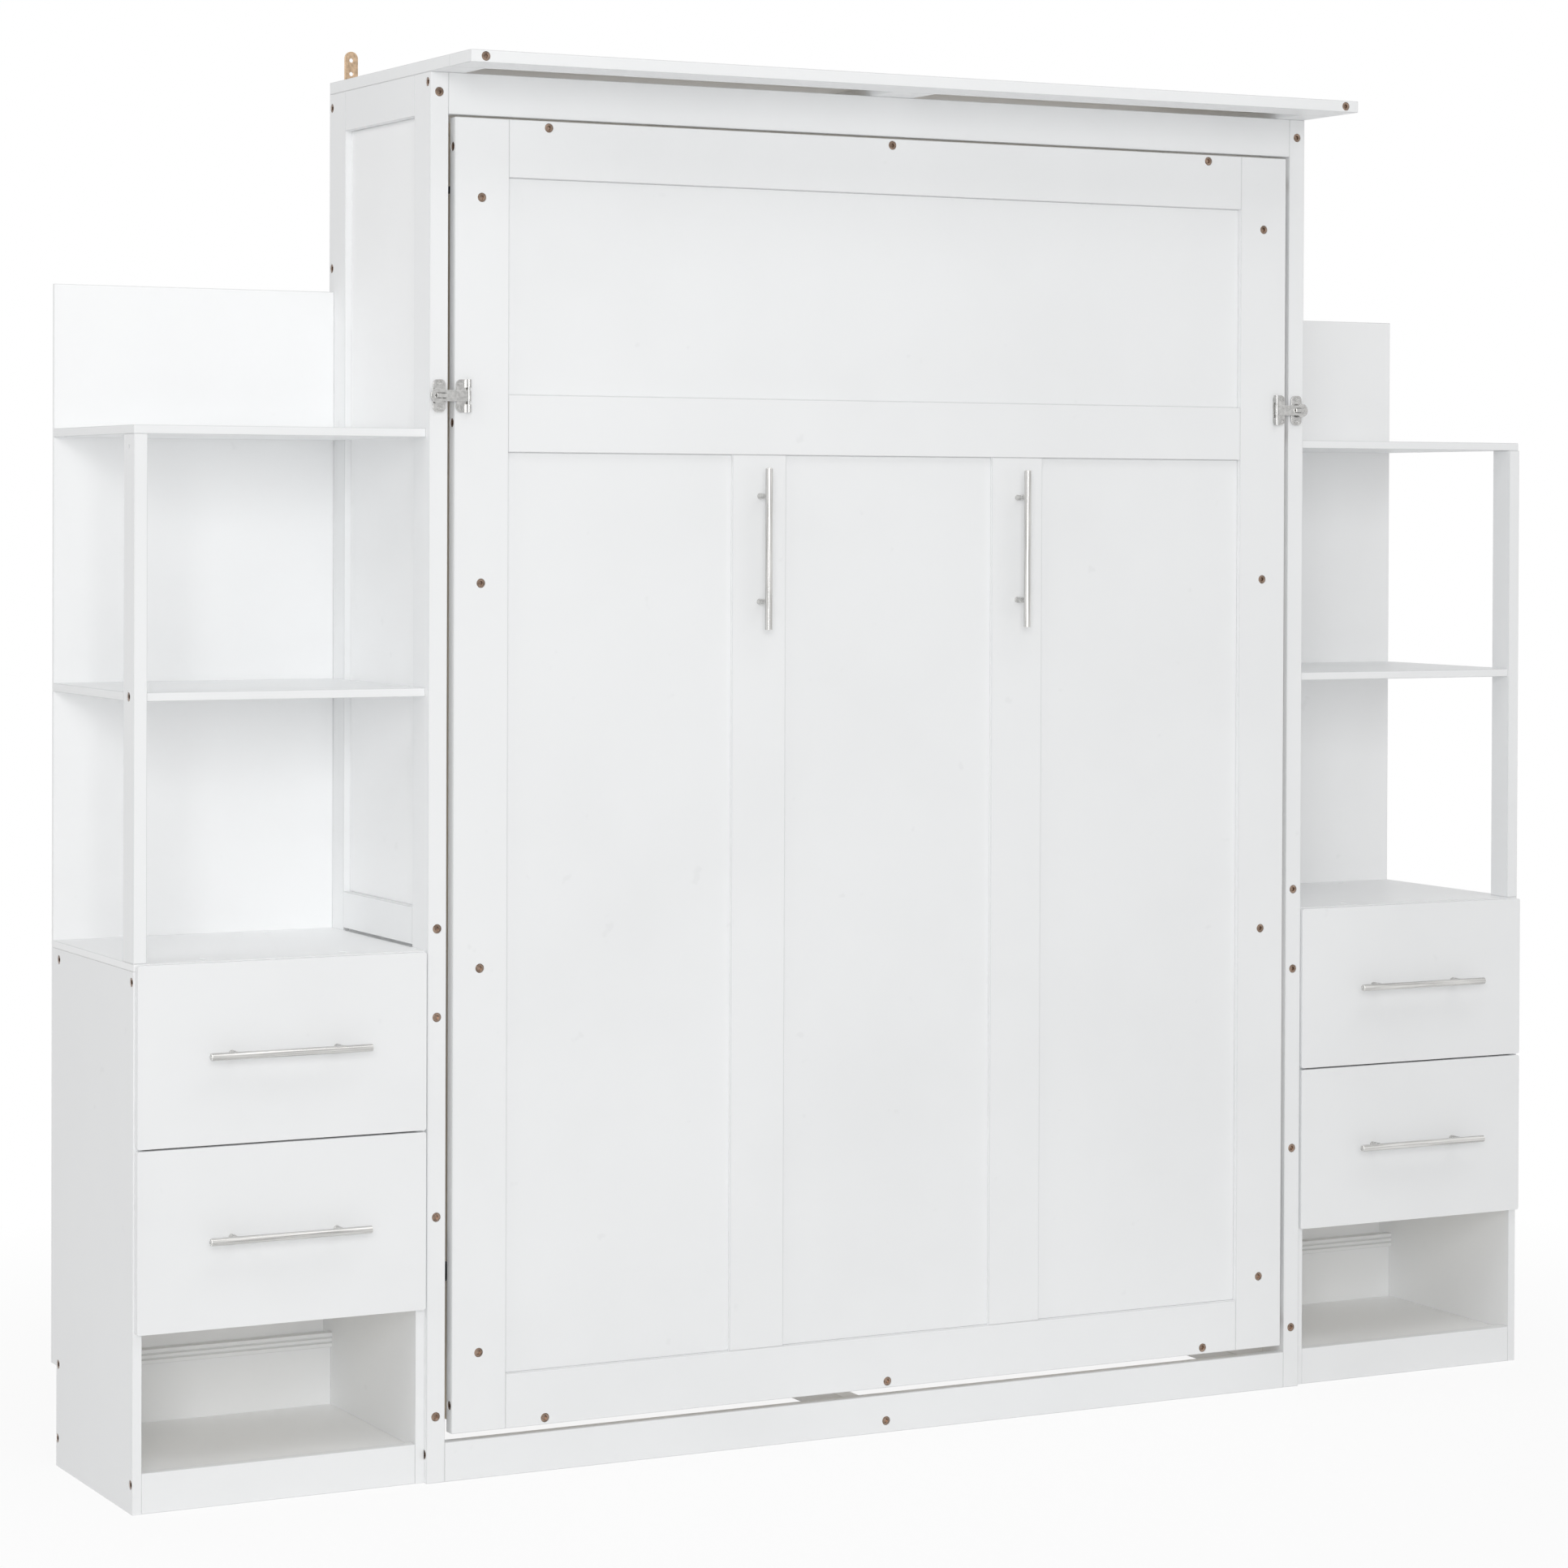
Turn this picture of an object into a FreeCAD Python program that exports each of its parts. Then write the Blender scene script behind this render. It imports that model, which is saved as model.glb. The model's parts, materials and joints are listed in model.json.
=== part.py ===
import FreeCAD, Part
import os
import re

# Wall bed with a fold-down face and a drawer tower on each side.
# Lengths in millimetres. X runs to the right, Y from the front to the wall, Z up from the floor.

SIZES = {
    # cabinet round the bed
    "cabinet_width": 1690,
    "cabinet_depth": 440,
    "stile_height": 2270,
    "stile_width": 32,
    "front_stile_depth": 66,
    "rear_stile_depth": 72,
    "side_top_rail_height": 67,
    "side_mid_rail_height": 61,
    "side_mid_rail_bottom": 863,
    "side_panel_recess": 12,
    "side_panel_thickness": 9,
    "lower_board_thickness": 22,
    "lower_board_bottom": 32,
    "header_height": 67,
    "header_thickness": 22,
    "base_height": 64,
    "base_thickness": 20,
    "rear_rail_thickness": 22,
    "rear_top_rail_height": 70,
    "rear_mid_rail_height": 90,
    "rear_mid_rail_drop": 295,
    "rear_low_rail_height": 75,
    "stretcher_height": 38,
    "stretcher_width": 32,
    # crown on top
    "crown_overhang": 164,
    "crown_thickness": 20,
    "crown_rail_depth": 85,
    "crown_arm_width": 60,
    "crown_mid_arm_width": 80,
    "crown_rear_depth": 60,
    "crown_panel_thickness": 6,
    # wall brackets
    "bracket_width": 24,
    "bracket_thickness": 3,
    "bracket_height": 55,
    "bracket_foot": 42,
    "bracket_inset": 26,
    "bracket_hole_radius": 3.5,
    "bracket_hole_low": 17,
    "bracket_hole_spacing": 23,
    # bed face
    "door_gap": 10,
    "door_top_gap": 4,
    "door_bottom_gap": 13,
    "door_proud": 4,
    "door_thickness": 22,
    "door_stile_width": 95,
    "door_top_rail_height": 94,
    "door_mid_rail_height": 93,
    "door_mid_rail_drop": 491.5,
    "door_bottom_rail_height": 89,
    "door_panel_recess": 9,
    "door_panel_thickness": 8,
    "batten_width": 100,
    "batten_centre": 250,
    "batten_thickness": 7,
    # bed frame behind the face
    "bed_rail_thickness": 22,
    "bed_rail_depth": 82,
    "bed_rail_setback": 36,
    "slat_width": 70,
    "slat_thickness": 12,
    "slat_end_margin": 40,
    "slat_ledge": 20,
    # pivot
    "pivot_setback": 56,
    "pivot_height": 330,
    "pivot_pin_radius": 10,
    "pivot_boss_radius": 16,
    "pivot_boss_length": 24,
    "running_clearance": 0.05,
    "plate_thickness": 4,
    "plate_half_width": 36,
    "pivot_plate_rise": 62,
    "pivot_plate_drop": 120,
    "hinge_plate_rise": 65,
    "hinge_plate_drop": 225,
    "pin_end_gap": 1,
    # legs and their links
    "leg_setback": 50,
    "leg_pivot_drop": 114,
    "leg_width": 40,
    "leg_thickness": 6,
    "leg_side_gap": 2.5,
    "leg_floor_gap": 1,
    "leg_pin_radius": 6,
    "leg_plate_half_height": 60,
    "link_offset": 35,
    "link_thickness": 4,
    "link_width": 20,
    "link_side_gap": 3.5,
    "link_pin_radius": 5,
    "link_loose_clearance": 0.4,
    # pull handles
    "handle_radius": 6,
    "handle_length": 270,
    "handle_post_radius": 5,
    "handle_post_spacing": 176,
    "handle_standoff": 35,
    "bed_handle_drop": 157,
    # latches
    "latch_rise": 43,
    "latch_plate_height": 53,
    "latch_plate_width": 22,
    "latch_plate_thickness": 3,
    "latch_plate_round": 8,
    "latch_door_plate_width": 24,
    "latch_door_plate_inset": 2,
    "latch_barrel_radius": 4,
    "latch_barrel_inset": 22,
    "latch_barrel_length": 13,
    "latch_pin_radius": 2,
    "latch_pin_gap": 0.4,
    "latch_arm_height": 18,
    "latch_arm_thickness": 2.4,
    "latch_arm_reach": 6,
    "latch_arm_end_radius": 12,
    "latch_slot_length": 21,
    "latch_slot_height": 9,
    "latch_post_radius": 3.5,
    "latch_knob_length": 18,
    "latch_knob_height": 6.4,
    "latch_knob_thickness": 4,
    "latch_knob_gap": 0.8,
    "latch_keeper_inset": 16,
    # towers
    "tower_width": 490,
    "tower_setback": 10.5,
    "tower_wall_gap": 16,
    "tower_panel_thickness": 15,
    "tower_back_thickness": 7,
    "tower_back_top": 1935,
    "notch_depth": 23,
    "notch_height": 164,
    "deck_thickness": 12,
    "deck_top": 859,
    "deck_hole_radius": 7,
    "deck_hole_depth": 9,
    "deck_hole_spacing": 236,
    "deck_hole_front": 34,
    "deck_hole_rear": 25,
    "kick_height": 64,
    "kick_thickness": 18,
    "floor_top": 58,
    "top_rail_height": 34,
    "batten_rail_height": 25,
    "batten_rail_bottom": 155,
    "batten_groove": 2,
    "back_rail_thickness": 18,
    "back_board_thickness": 12,
    "shelf_thickness": 14,
    "shelf_setback": 14,
    "shelf_top": 1698,
    "mid_shelf_top": 1281,
    "post_width": 22,
    "post_depth": 50,
    "post_hole_drop": 20,
    "post_hole_radius": 3.5,
    "post_hole_depth": 8,
    # drawers
    "drawer_front_thickness": 13,
    "drawer_front_height": 286,
    "drawer_side_reveal": 3,
    "drawer_top_reveal": 2,
    "drawer_gap": 3,
    "drawer_front_clearance": 0.5,
    "drawer_corner_round": 4,
    "drawer_back_room": 16,
    "drawer_wall": 12,
    "drawer_bottom": 6,
    "drawer_box_drop": 30,
    "drawer_box_height": 190,
    "drawer_side_room": 9,
    "runner_width": 8,
    "runner_height": 20,
    "runner_rise": 120,
    # bolts
    "bolt_head_radius": 7.2,
    "bolt_head_height": 5,
    "bolt_sink": 1,
    "bolt_shank_radius": 3.5,
    "bolt_socket_radius": 4,
    "bolt_socket_depth": 3,
    "bolt_clearance": 0.4,
    "stile_bolt_length": 95,
    "edge_bolt_length": 60,
    "door_edge_bolt_length": 125,
    "face_bolt_length": 60,
    "post_bolt_length": 40,
    "top_bolt_drop": 32,
    "side_bolt_drop": 16,
    "base_bolt_height": 46,
    "stretcher_bolt_height": 20,
    "lower_bolt_drop": 112,
    "lower_bolt_inset": 75,
    "rear_bolt_drop": 24,
    "face_bolt_edge_inset": 165,
    "face_bolt_end_inset": 128,
    "crown_bolt_inset": 26,
    "screw_head_radius": 3.5,
    "screw_head_height": 1.6,
    "screw_shank_radius": 1.8,
    "screw_length": 15,
    "screw_socket_radius": 1.6,
    "screw_socket_depth": 0.8,
    "screw_spacing": 40,
    # how far a cutting shape runs past the surface it opens
    "overrun": 1,
}
SLATS = 12
FACE_BOLTS = 4
LEFT = -1
RIGHT = 1
SIDES = {"left": LEFT, "right": RIGHT}

os.makedirs("parts", exist_ok=True)
doc = FreeCAD.newDocument("WallBed")
sheet = doc.addObject("Spreadsheet::Sheet", "Sizes")
for row, (alias, value) in enumerate(SIZES.items(), 1):
    sheet.set(f"A{row}", alias)
    sheet.set(f"B{row}", str(value))
    sheet.setAlias(f"B{row}", alias)
doc.recompute()

WORD = re.compile(r"[a-z][a-z_]*")
TURNS = {
    "x": FreeCAD.Rotation(FreeCAD.Vector(0, 1, 0), 90),
    "y": FreeCAD.Rotation(FreeCAD.Vector(1, 0, 0), -90),
    "z": FreeCAD.Rotation(),
}


def cell_of(found):
    word = found.group(0)
    return f"Sizes.{word}" if word in SIZES else word


def bind(thing, slot, text):
    """Ties a property to the sheet; names of sizes in the text point at their cells."""
    thing.setExpression(slot, WORD.sub(cell_of, text))


def place(thing, x, y, z):
    bind(thing, "Placement.Base.x", x)
    bind(thing, "Placement.Base.y", y)
    bind(thing, "Placement.Base.z", z)


def board(x, y, z):
    """A box from low to high along each axis."""
    made = doc.addObject("Part::Box", "board")
    bind(made, "Length", f"({x[1]}) - ({x[0]})")
    bind(made, "Width", f"({y[1]}) - ({y[0]})")
    bind(made, "Height", f"({z[1]}) - ({z[0]})")
    place(made, x[0], y[0], z[0])
    return made


def along(axis, at, across):
    """Orders a position along an axis and the two positions across it as x, y, z."""
    if axis == "x":
        return at, across[0], across[1]
    if axis == "y":
        return across[0], at, across[1]
    return across[0], across[1], at


def bar(axis, low, high, across, radius):
    """A round bar along an axis from low to high."""
    made = doc.addObject("Part::Cylinder", "bar")
    made.Placement = FreeCAD.Placement(FreeCAD.Vector(), TURNS[axis])
    bind(made, "Radius", radius)
    bind(made, "Height", f"({high}) - ({low})")
    place(made, *along(axis, low, across))
    return made


def fuse(pieces):
    made = doc.addObject("Part::MultiFuse", "joined")
    made.Shapes = pieces
    return made


def cut(base, tools):
    made = doc.addObject("Part::Cut", "shaped")
    made.Base = base
    made.Tool = tools[0] if len(tools) == 1 else fuse(tools)
    return made


def span(side, low, high):
    """Low and high X of a piece given by its distances from the centre plane."""
    if side == RIGHT:
        return f"({low})", f"({high})"
    return f"-({high})", f"-({low})"


def at_x(side, distance):
    return f"({distance})" if side == RIGHT else f"-({distance})"


def middle(pair):
    return f"(({pair[0]}) + ({pair[1]})) / 2"


def up(low, *steps):
    return f"({low})" + "".join(f" + ({step})" for step in steps)


def down(high, *steps):
    return f"({high})" + "".join(f" - ({step})" for step in steps)


def round_corners(base, radius):
    """Rounds the four edges of a board that run along Y."""
    doc.recompute()
    made = doc.addObject("Part::Fillet", "rounded")
    made.Base = base
    edges = []
    for number, edge in enumerate(base.Shape.Edges, 1):
        run = edge.tangentAt(edge.FirstParameter)
        if abs(run.y) > abs(run.x) + abs(run.z):
            edges.append((number, SIZES[radius], SIZES[radius]))
    made.Edges = edges
    return made


nodes = {}


def node(name, pieces):
    """One file of the assembly, with one or more solids."""
    if len(pieces) == 1:
        made = pieces[0]
    else:
        made = doc.addObject("Part::Compound", name)
        made.Links = pieces
    made.Label = name
    nodes[name] = made


class Drilled:
    """A board that bolts pass through; its holes are cut once all bolts are known."""

    def __init__(self, solid):
        self.solid = solid
        self.holes = []

    def done(self):
        return cut(self.solid, self.holes) if self.holes else self.solid


def fastener(kind, axis, inward, surface, across, length, boards):
    """A socket head fastener sunk in a surface, with its holes in the boards it joins."""
    sink = "bolt_sink" if kind == "bolt" else "0"

    def run(start, end):
        first = f"({surface}) + ({start})" if inward > 0 else f"({surface}) - ({end})"
        last = f"({surface}) + ({end})" if inward > 0 else f"({surface}) - ({start})"
        return first, last

    neck = f"{sink} + {kind}_head_height"
    head = bar(axis, *run(sink, neck), across, f"{kind}_head_radius")
    shank = bar(axis, *run(neck, length), across, f"{kind}_shank_radius")
    socket = doc.addObject("Part::Prism", "socket")
    socket.Placement = FreeCAD.Placement(FreeCAD.Vector(), TURNS[axis])
    bind(socket, "Circumradius", f"{kind}_socket_radius")
    bind(socket, "Height", f"{kind}_socket_depth")
    place(socket, *along(axis, run(sink, f"{sink} + {kind}_socket_depth")[0], across))
    wide = bar(axis, *run("-overrun", neck), across, f"{kind}_head_radius + bolt_clearance")
    tip = f"{length} + bolt_clearance"
    narrow = bar(axis, *run("0", tip), across, f"{kind}_shank_radius + bolt_clearance")
    hole = fuse([wide, narrow])
    for each in boards:
        each.holes.append(hole)
    return cut(fuse([head, shank]), [socket])


# planes shared by many pieces
FRONT = "(crown_overhang - cabinet_depth) / 2"
REAR = "(crown_overhang + cabinet_depth) / 2"
HALF = "cabinet_width / 2"
INNER = "cabinet_width / 2 - stile_width"
STILE_REAR = up(FRONT, "front_stile_depth")
REAR_FRONT = down(REAR, "rear_stile_depth")
MID_RAIL = ("side_mid_rail_bottom", "side_mid_rail_bottom + side_mid_rail_height")
TOP_RAIL = ("stile_height - side_top_rail_height", "stile_height")
HEADER = ("stile_height - header_height", "stile_height")
HEADER_Y = (FRONT, up(FRONT, "header_thickness"))
BASE_Y = (FRONT, up(FRONT, "base_thickness"))
REAR_RAIL_Y = (down(REAR, "rear_rail_thickness"), REAR)
REAR_MID_CENTRE = "stile_height - rear_mid_rail_drop"
REAR_MID = (
    f"{REAR_MID_CENTRE} - rear_mid_rail_height / 2",
    f"{REAR_MID_CENTRE} + rear_mid_rail_height / 2",
)
REAR_LOW = ("stretcher_height", "stretcher_height + rear_low_rail_height")
CROWN_Z = ("stile_height", "stile_height + crown_thickness")
CROWN_FRONT = down(FRONT, "crown_overhang")
CROWN_RAIL_REAR = up(CROWN_FRONT, "crown_rail_depth")
CROWN_TOP = CROWN_Z[1]

cabinet_bolts = []

# cabinet
front_stile = {}
rear_stile = {}
side_top = {}
side_mid = {}
lower_board = {}
header = Drilled(board((f"-({INNER})", INNER), HEADER_Y, HEADER))
base = Drilled(board((f"-({INNER})", INNER), BASE_Y, ("0", "base_height")))
rear_top = Drilled(
    board((f"-({INNER})", INNER), REAR_RAIL_Y, ("stile_height - rear_top_rail_height", "stile_height"))
)
rear_mid = Drilled(board((f"-({INNER})", INNER), REAR_RAIL_Y, REAR_MID))
rear_low = Drilled(board((f"-({INNER})", INNER), REAR_RAIL_Y, REAR_LOW))
stretcher = Drilled(
    board(("-stretcher_width / 2", "stretcher_width / 2"), (BASE_Y[1], REAR), ("0", "stretcher_height"))
)
crown_rail = Drilled(board((f"-{HALF}", HALF), (CROWN_FRONT, CROWN_RAIL_REAR), CROWN_Z))
crown_arm = {}
side_panels = []
sole_boards = []
for side in (LEFT, RIGHT):
    outer = span(side, INNER, HALF)
    front_stile[side] = Drilled(board(outer, (FRONT, STILE_REAR), ("0", "stile_height")))
    rear_stile[side] = Drilled(board(outer, (REAR_FRONT, REAR), ("0", "stile_height")))
    side_top[side] = Drilled(board(outer, (STILE_REAR, REAR_FRONT), TOP_RAIL))
    side_mid[side] = Drilled(board(outer, (STILE_REAR, REAR_FRONT), MID_RAIL))
    lower_board[side] = Drilled(
        board(
            span(side, INNER, up(INNER, "lower_board_thickness")),
            (STILE_REAR, REAR_FRONT),
            ("lower_board_bottom", MID_RAIL[0]),
        )
    )
    panel_outer = f"{HALF} - side_panel_recess"
    side_panels.append(
        board(
            span(side, f"{panel_outer} - side_panel_thickness", panel_outer),
            (STILE_REAR, REAR_FRONT),
            (MID_RAIL[1], TOP_RAIL[0]),
        )
    )
    crown_arm[side] = Drilled(
        board(span(side, f"{HALF} - crown_arm_width", HALF), (CROWN_RAIL_REAR, REAR), CROWN_Z)
    )
    sole_boards.append(
        board(
            span(side, INNER, up(INNER, "lower_board_thickness")),
            (STILE_REAR, REAR_FRONT),
            ("0", "lower_board_bottom"),
        )
    )

LOWER_BOLTS = (f"{MID_RAIL[0]} - lower_bolt_drop", "lower_board_bottom + lower_bolt_inset")
for side in (LEFT, RIGHT):
    stile_x = at_x(side, f"{HALF} - stile_width / 2")
    for height, behind in (
        ("stile_height - top_bolt_drop", side_top[side]),
        (middle(MID_RAIL), side_mid[side]),
        (LOWER_BOLTS[0], lower_board[side]),
        (middle(LOWER_BOLTS), lower_board[side]),
        (LOWER_BOLTS[1], lower_board[side]),
    ):
        cabinet_bolts.append(
            fastener(
                "bolt", "y", 1, FRONT, (stile_x, height), "stile_bolt_length", [front_stile[side], behind]
            )
        )
    face_x = at_x(side, HALF)
    for across, through in (
        ((middle(HEADER_Y), "stile_height - side_bolt_drop"), [front_stile[side], header]),
        ((middle(BASE_Y), "base_bolt_height"), [front_stile[side], base]),
        ((middle(REAR_RAIL_Y), "stile_height - rear_bolt_drop"), [rear_stile[side], rear_top]),
        ((middle(REAR_RAIL_Y), REAR_MID_CENTRE), [rear_stile[side], rear_mid]),
        ((middle(REAR_RAIL_Y), middle(REAR_LOW)), [rear_stile[side], rear_low]),
    ):
        cabinet_bolts.append(fastener("bolt", "x", -side, face_x, across, "edge_bolt_length", through))
    cabinet_bolts.append(
        fastener(
            "bolt",
            "y",
            1,
            CROWN_FRONT,
            (at_x(side, f"{HALF} - crown_bolt_inset"), middle(CROWN_Z)),
            "crown_rail_depth + edge_bolt_length",
            [crown_rail, crown_arm[side]],
        )
    )
cabinet_bolts.append(
    fastener(
        "bolt", "y", 1, FRONT, ("0", "stretcher_bolt_height"), "edge_bolt_length", [base, stretcher]
    )
)

# crown arms, rear rail and the thin panels between them
mid_arm = ("-crown_mid_arm_width / 2", "crown_mid_arm_width / 2")
crown_rear_y = (down(REAR, "crown_rear_depth"), REAR)
crown_frame = [board(mid_arm, (CROWN_RAIL_REAR, REAR), CROWN_Z)]
crown_panels = []
for side in (LEFT, RIGHT):
    bay = span(side, "crown_mid_arm_width / 2", f"{HALF} - crown_arm_width")
    crown_frame.append(board(bay, crown_rear_y, CROWN_Z))
    crown_panels.append(
        board(bay, (CROWN_RAIL_REAR, crown_rear_y[0]), (down(CROWN_TOP, "crown_panel_thickness"), CROWN_TOP))
    )

# wall brackets: a strap with a rounded top, two holes and a foot on the crown
brackets = []
for side in (LEFT, RIGHT):
    strap_x = span(side, f"{HALF} - bracket_inset - bracket_width", f"{HALF} - bracket_inset")
    strap_y = (down(REAR, "bracket_thickness"), REAR)
    strap_mid = middle(strap_x)
    strap_top = up(CROWN_TOP, "bracket_height")
    round_z = f"{strap_top} - bracket_width / 2"
    strap = fuse(
        [
            board(strap_x, strap_y, (CROWN_TOP, round_z)),
            bar("y", *strap_y, (strap_mid, round_z), "bracket_width / 2"),
            board(
                strap_x, (down(REAR, "bracket_foot"), REAR), (CROWN_TOP, up(CROWN_TOP, "bracket_thickness"))
            ),
        ]
    )
    low_hole = up(CROWN_TOP, "bracket_hole_low")
    holes = [
        bar("y", down(strap_y[0], "overrun"), up(REAR, "overrun"), (strap_mid, height), "bracket_hole_radius")
        for height in (low_hole, up(low_hole, "bracket_hole_spacing"))
    ]
    brackets.append(cut(strap, holes))

# bed face
DOOR_FRONT = down(FRONT, "door_proud")
DOOR_Y = (DOOR_FRONT, up(DOOR_FRONT, "door_thickness"))
DOOR_X = f"{INNER} - door_gap"
DOOR_Z = ("base_height + door_bottom_gap", "stile_height - header_height - door_top_gap")
FACE_X = f"{DOOR_X} - door_stile_width"
RAIL_TOP = (down(DOOR_Z[1], "door_top_rail_height"), DOOR_Z[1])
RAIL_MID_CENTRE = down(DOOR_Z[1], "door_mid_rail_drop")
RAIL_MID = (
    f"{RAIL_MID_CENTRE} - door_mid_rail_height / 2",
    f"{RAIL_MID_CENTRE} + door_mid_rail_height / 2",
)
RAIL_LOW = (DOOR_Z[0], up(DOOR_Z[0], "door_bottom_rail_height"))
PANEL_FRONT = up(DOOR_FRONT, "door_panel_recess")
BATTEN_FRONT = down(PANEL_FRONT, "batten_thickness")
PANEL_Y = (PANEL_FRONT, up(PANEL_FRONT, "door_panel_thickness"))
RAIL_OUT = f"{DOOR_X} - bed_rail_setback"
RAIL_IN = f"{RAIL_OUT} - bed_rail_thickness"
BED_Y = (DOOR_Y[1], up(DOOR_Y[1], "bed_rail_depth"))
SLAT_Y = (BED_Y[1], up(BED_Y[1], "slat_thickness"))
BED_RAIL_Y = (BED_Y[0], SLAT_Y[1])
LEDGE_Y = (down(BED_Y[1], "slat_ledge"), BED_Y[1])
FOOT_Z = (down(DOOR_Z[1], "bed_rail_thickness"), DOOR_Z[1])
HEAD_Z = (DOOR_Z[0], up(DOOR_Z[0], "bed_rail_thickness"))
BED_RAIL_Z = (HEAD_Z[1], FOOT_Z[0])

face_stile = {}
bed_rail = {}
slat_ledges = []
for side in (LEFT, RIGHT):
    face_stile[side] = Drilled(board(span(side, FACE_X, DOOR_X), DOOR_Y, DOOR_Z))
    bed_rail[side] = Drilled(board(span(side, RAIL_IN, RAIL_OUT), BED_RAIL_Y, BED_RAIL_Z))
    slat_ledges.append(board(span(side, f"{RAIL_IN} - slat_ledge", RAIL_IN), LEDGE_Y, BED_RAIL_Z))
FACE_SPAN = (f"-({FACE_X})", FACE_X)
face_rail = [Drilled(board(FACE_SPAN, DOOR_Y, level)) for level in (RAIL_TOP, RAIL_MID, RAIL_LOW)]
head_rail = Drilled(board((f"-({RAIL_OUT})", RAIL_OUT), BED_RAIL_Y, HEAD_Z))
foot_rail = Drilled(board((f"-({RAIL_OUT})", RAIL_OUT), BED_RAIL_Y, FOOT_Z))
face_panels = [
    board(FACE_SPAN, PANEL_Y, level)
    for level in ((RAIL_LOW[1], RAIL_MID[0]), (RAIL_MID[1], RAIL_TOP[0]))
]
face_battens = [
    board(
        span(side, "batten_centre - batten_width / 2", "batten_centre + batten_width / 2"),
        (BATTEN_FRONT, PANEL_FRONT),
        (RAIL_LOW[1], RAIL_MID[0]),
    )
    for side in (LEFT, RIGHT)
]
beam = board(("-bed_rail_thickness / 2", "bed_rail_thickness / 2"), BED_Y, BED_RAIL_Z)
slat_low = up(DOOR_Z[0], "slat_end_margin")
slat_step = f"({DOOR_Z[1]} - ({DOOR_Z[0]}) - 2 * slat_end_margin - slat_width) / {SLATS - 1}"
slats = []
for number in range(SLATS):
    bottom = f"{slat_low} + {number} * {slat_step}"
    slats.append(
        board(
            (f"-({RAIL_IN})", RAIL_IN),
            SLAT_Y,
            (bottom, f"{bottom} + slat_width"),
        )
    )

bed_bolts = []
FACE_BOLT_STEP = f"({DOOR_Z[1]} - ({DOOR_Z[0]}) - 2 * face_bolt_end_inset) / {FACE_BOLTS - 1}"
for side in (LEFT, RIGHT):
    rail_x = at_x(side, f"{RAIL_OUT} - bed_rail_thickness / 2")
    for number in range(FACE_BOLTS):
        height = f"{DOOR_Z[0]} + face_bolt_end_inset + {number} * {FACE_BOLT_STEP}"
        bed_bolts.append(
            fastener(
                "bolt",
                "y",
                1,
                DOOR_FRONT,
                (rail_x, height),
                "face_bolt_length",
                [face_stile[side], bed_rail[side]],
            )
        )
    for rail, level in zip(face_rail, (RAIL_TOP, RAIL_MID, RAIL_LOW)):
        bed_bolts.append(
            fastener(
                "bolt",
                "x",
                -side,
                at_x(side, DOOR_X),
                (middle(DOOR_Y), middle(level)),
                "door_edge_bolt_length",
                [face_stile[side], rail],
            )
        )
for rail, end, level in ((face_rail[0], foot_rail, FOOT_Z), (face_rail[2], head_rail, HEAD_Z)):
    for x in (f"-({DOOR_X} - face_bolt_edge_inset)", "0", f"{DOOR_X} - face_bolt_edge_inset"):
        bed_bolts.append(
            fastener("bolt", "y", 1, DOOR_FRONT, (x, middle(level)), "face_bolt_length", [rail, end])
        )


# pull handles: a bar on two posts
def handle(axis, centre, face):
    """centre: X and Z of the bar; face: Y of the surface that the posts stand on."""
    bar_y = down(face, "handle_standoff")
    middle_at, other = (centre[0], centre[1]) if axis == "x" else (centre[1], centre[0])
    across = (bar_y, other) if axis == "x" else (other, bar_y)
    made = [
        bar(
            axis,
            f"({middle_at}) - handle_length / 2",
            f"({middle_at}) + handle_length / 2",
            across,
            "handle_radius",
        )
    ]
    for step in ("-handle_post_spacing / 2", "handle_post_spacing / 2"):
        post = (f"({middle_at}) + ({step})", other) if axis == "x" else (other, f"({middle_at}) + ({step})")
        made.append(bar("y", bar_y, face, post, "handle_post_radius"))
    return fuse(made)


PULL_Z = down(RAIL_MID[0], "bed_handle_drop")
bed_handles = [handle("z", (at_x(side, "batten_centre"), PULL_Z), BATTEN_FRONT) for side in (LEFT, RIGHT)]

# pivot: plates on the lower boards carry the pins, plates on the bed rails turn on them
PIVOT_Y = up(FRONT, "pivot_setback")
LINK_Y = f"{PIVOT_Y} + link_offset"
LINK_Z = "pivot_height + link_offset"
LEG_Y = up(FRONT, "leg_setback")
LEG_Z = down(DOOR_Z[1], "leg_pivot_drop")
LEG_LINK_Y = f"{LEG_Y} + link_offset"
LEG_LINK_Z = f"{LEG_Z} + link_offset"
PLATE_IN = f"{INNER} - plate_thickness"
HINGE_OUT = f"{RAIL_OUT} + plate_thickness"
LEG_OUT = f"{INNER} - leg_side_gap"
LEG_IN = f"{LEG_OUT} - leg_thickness"
LINK_OUT = f"{LEG_IN} - link_side_gap"
LINK_IN = f"{LINK_OUT} - link_thickness"
pivot_plates = []
hinge_plates = []
legs = {}
links = {}
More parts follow.
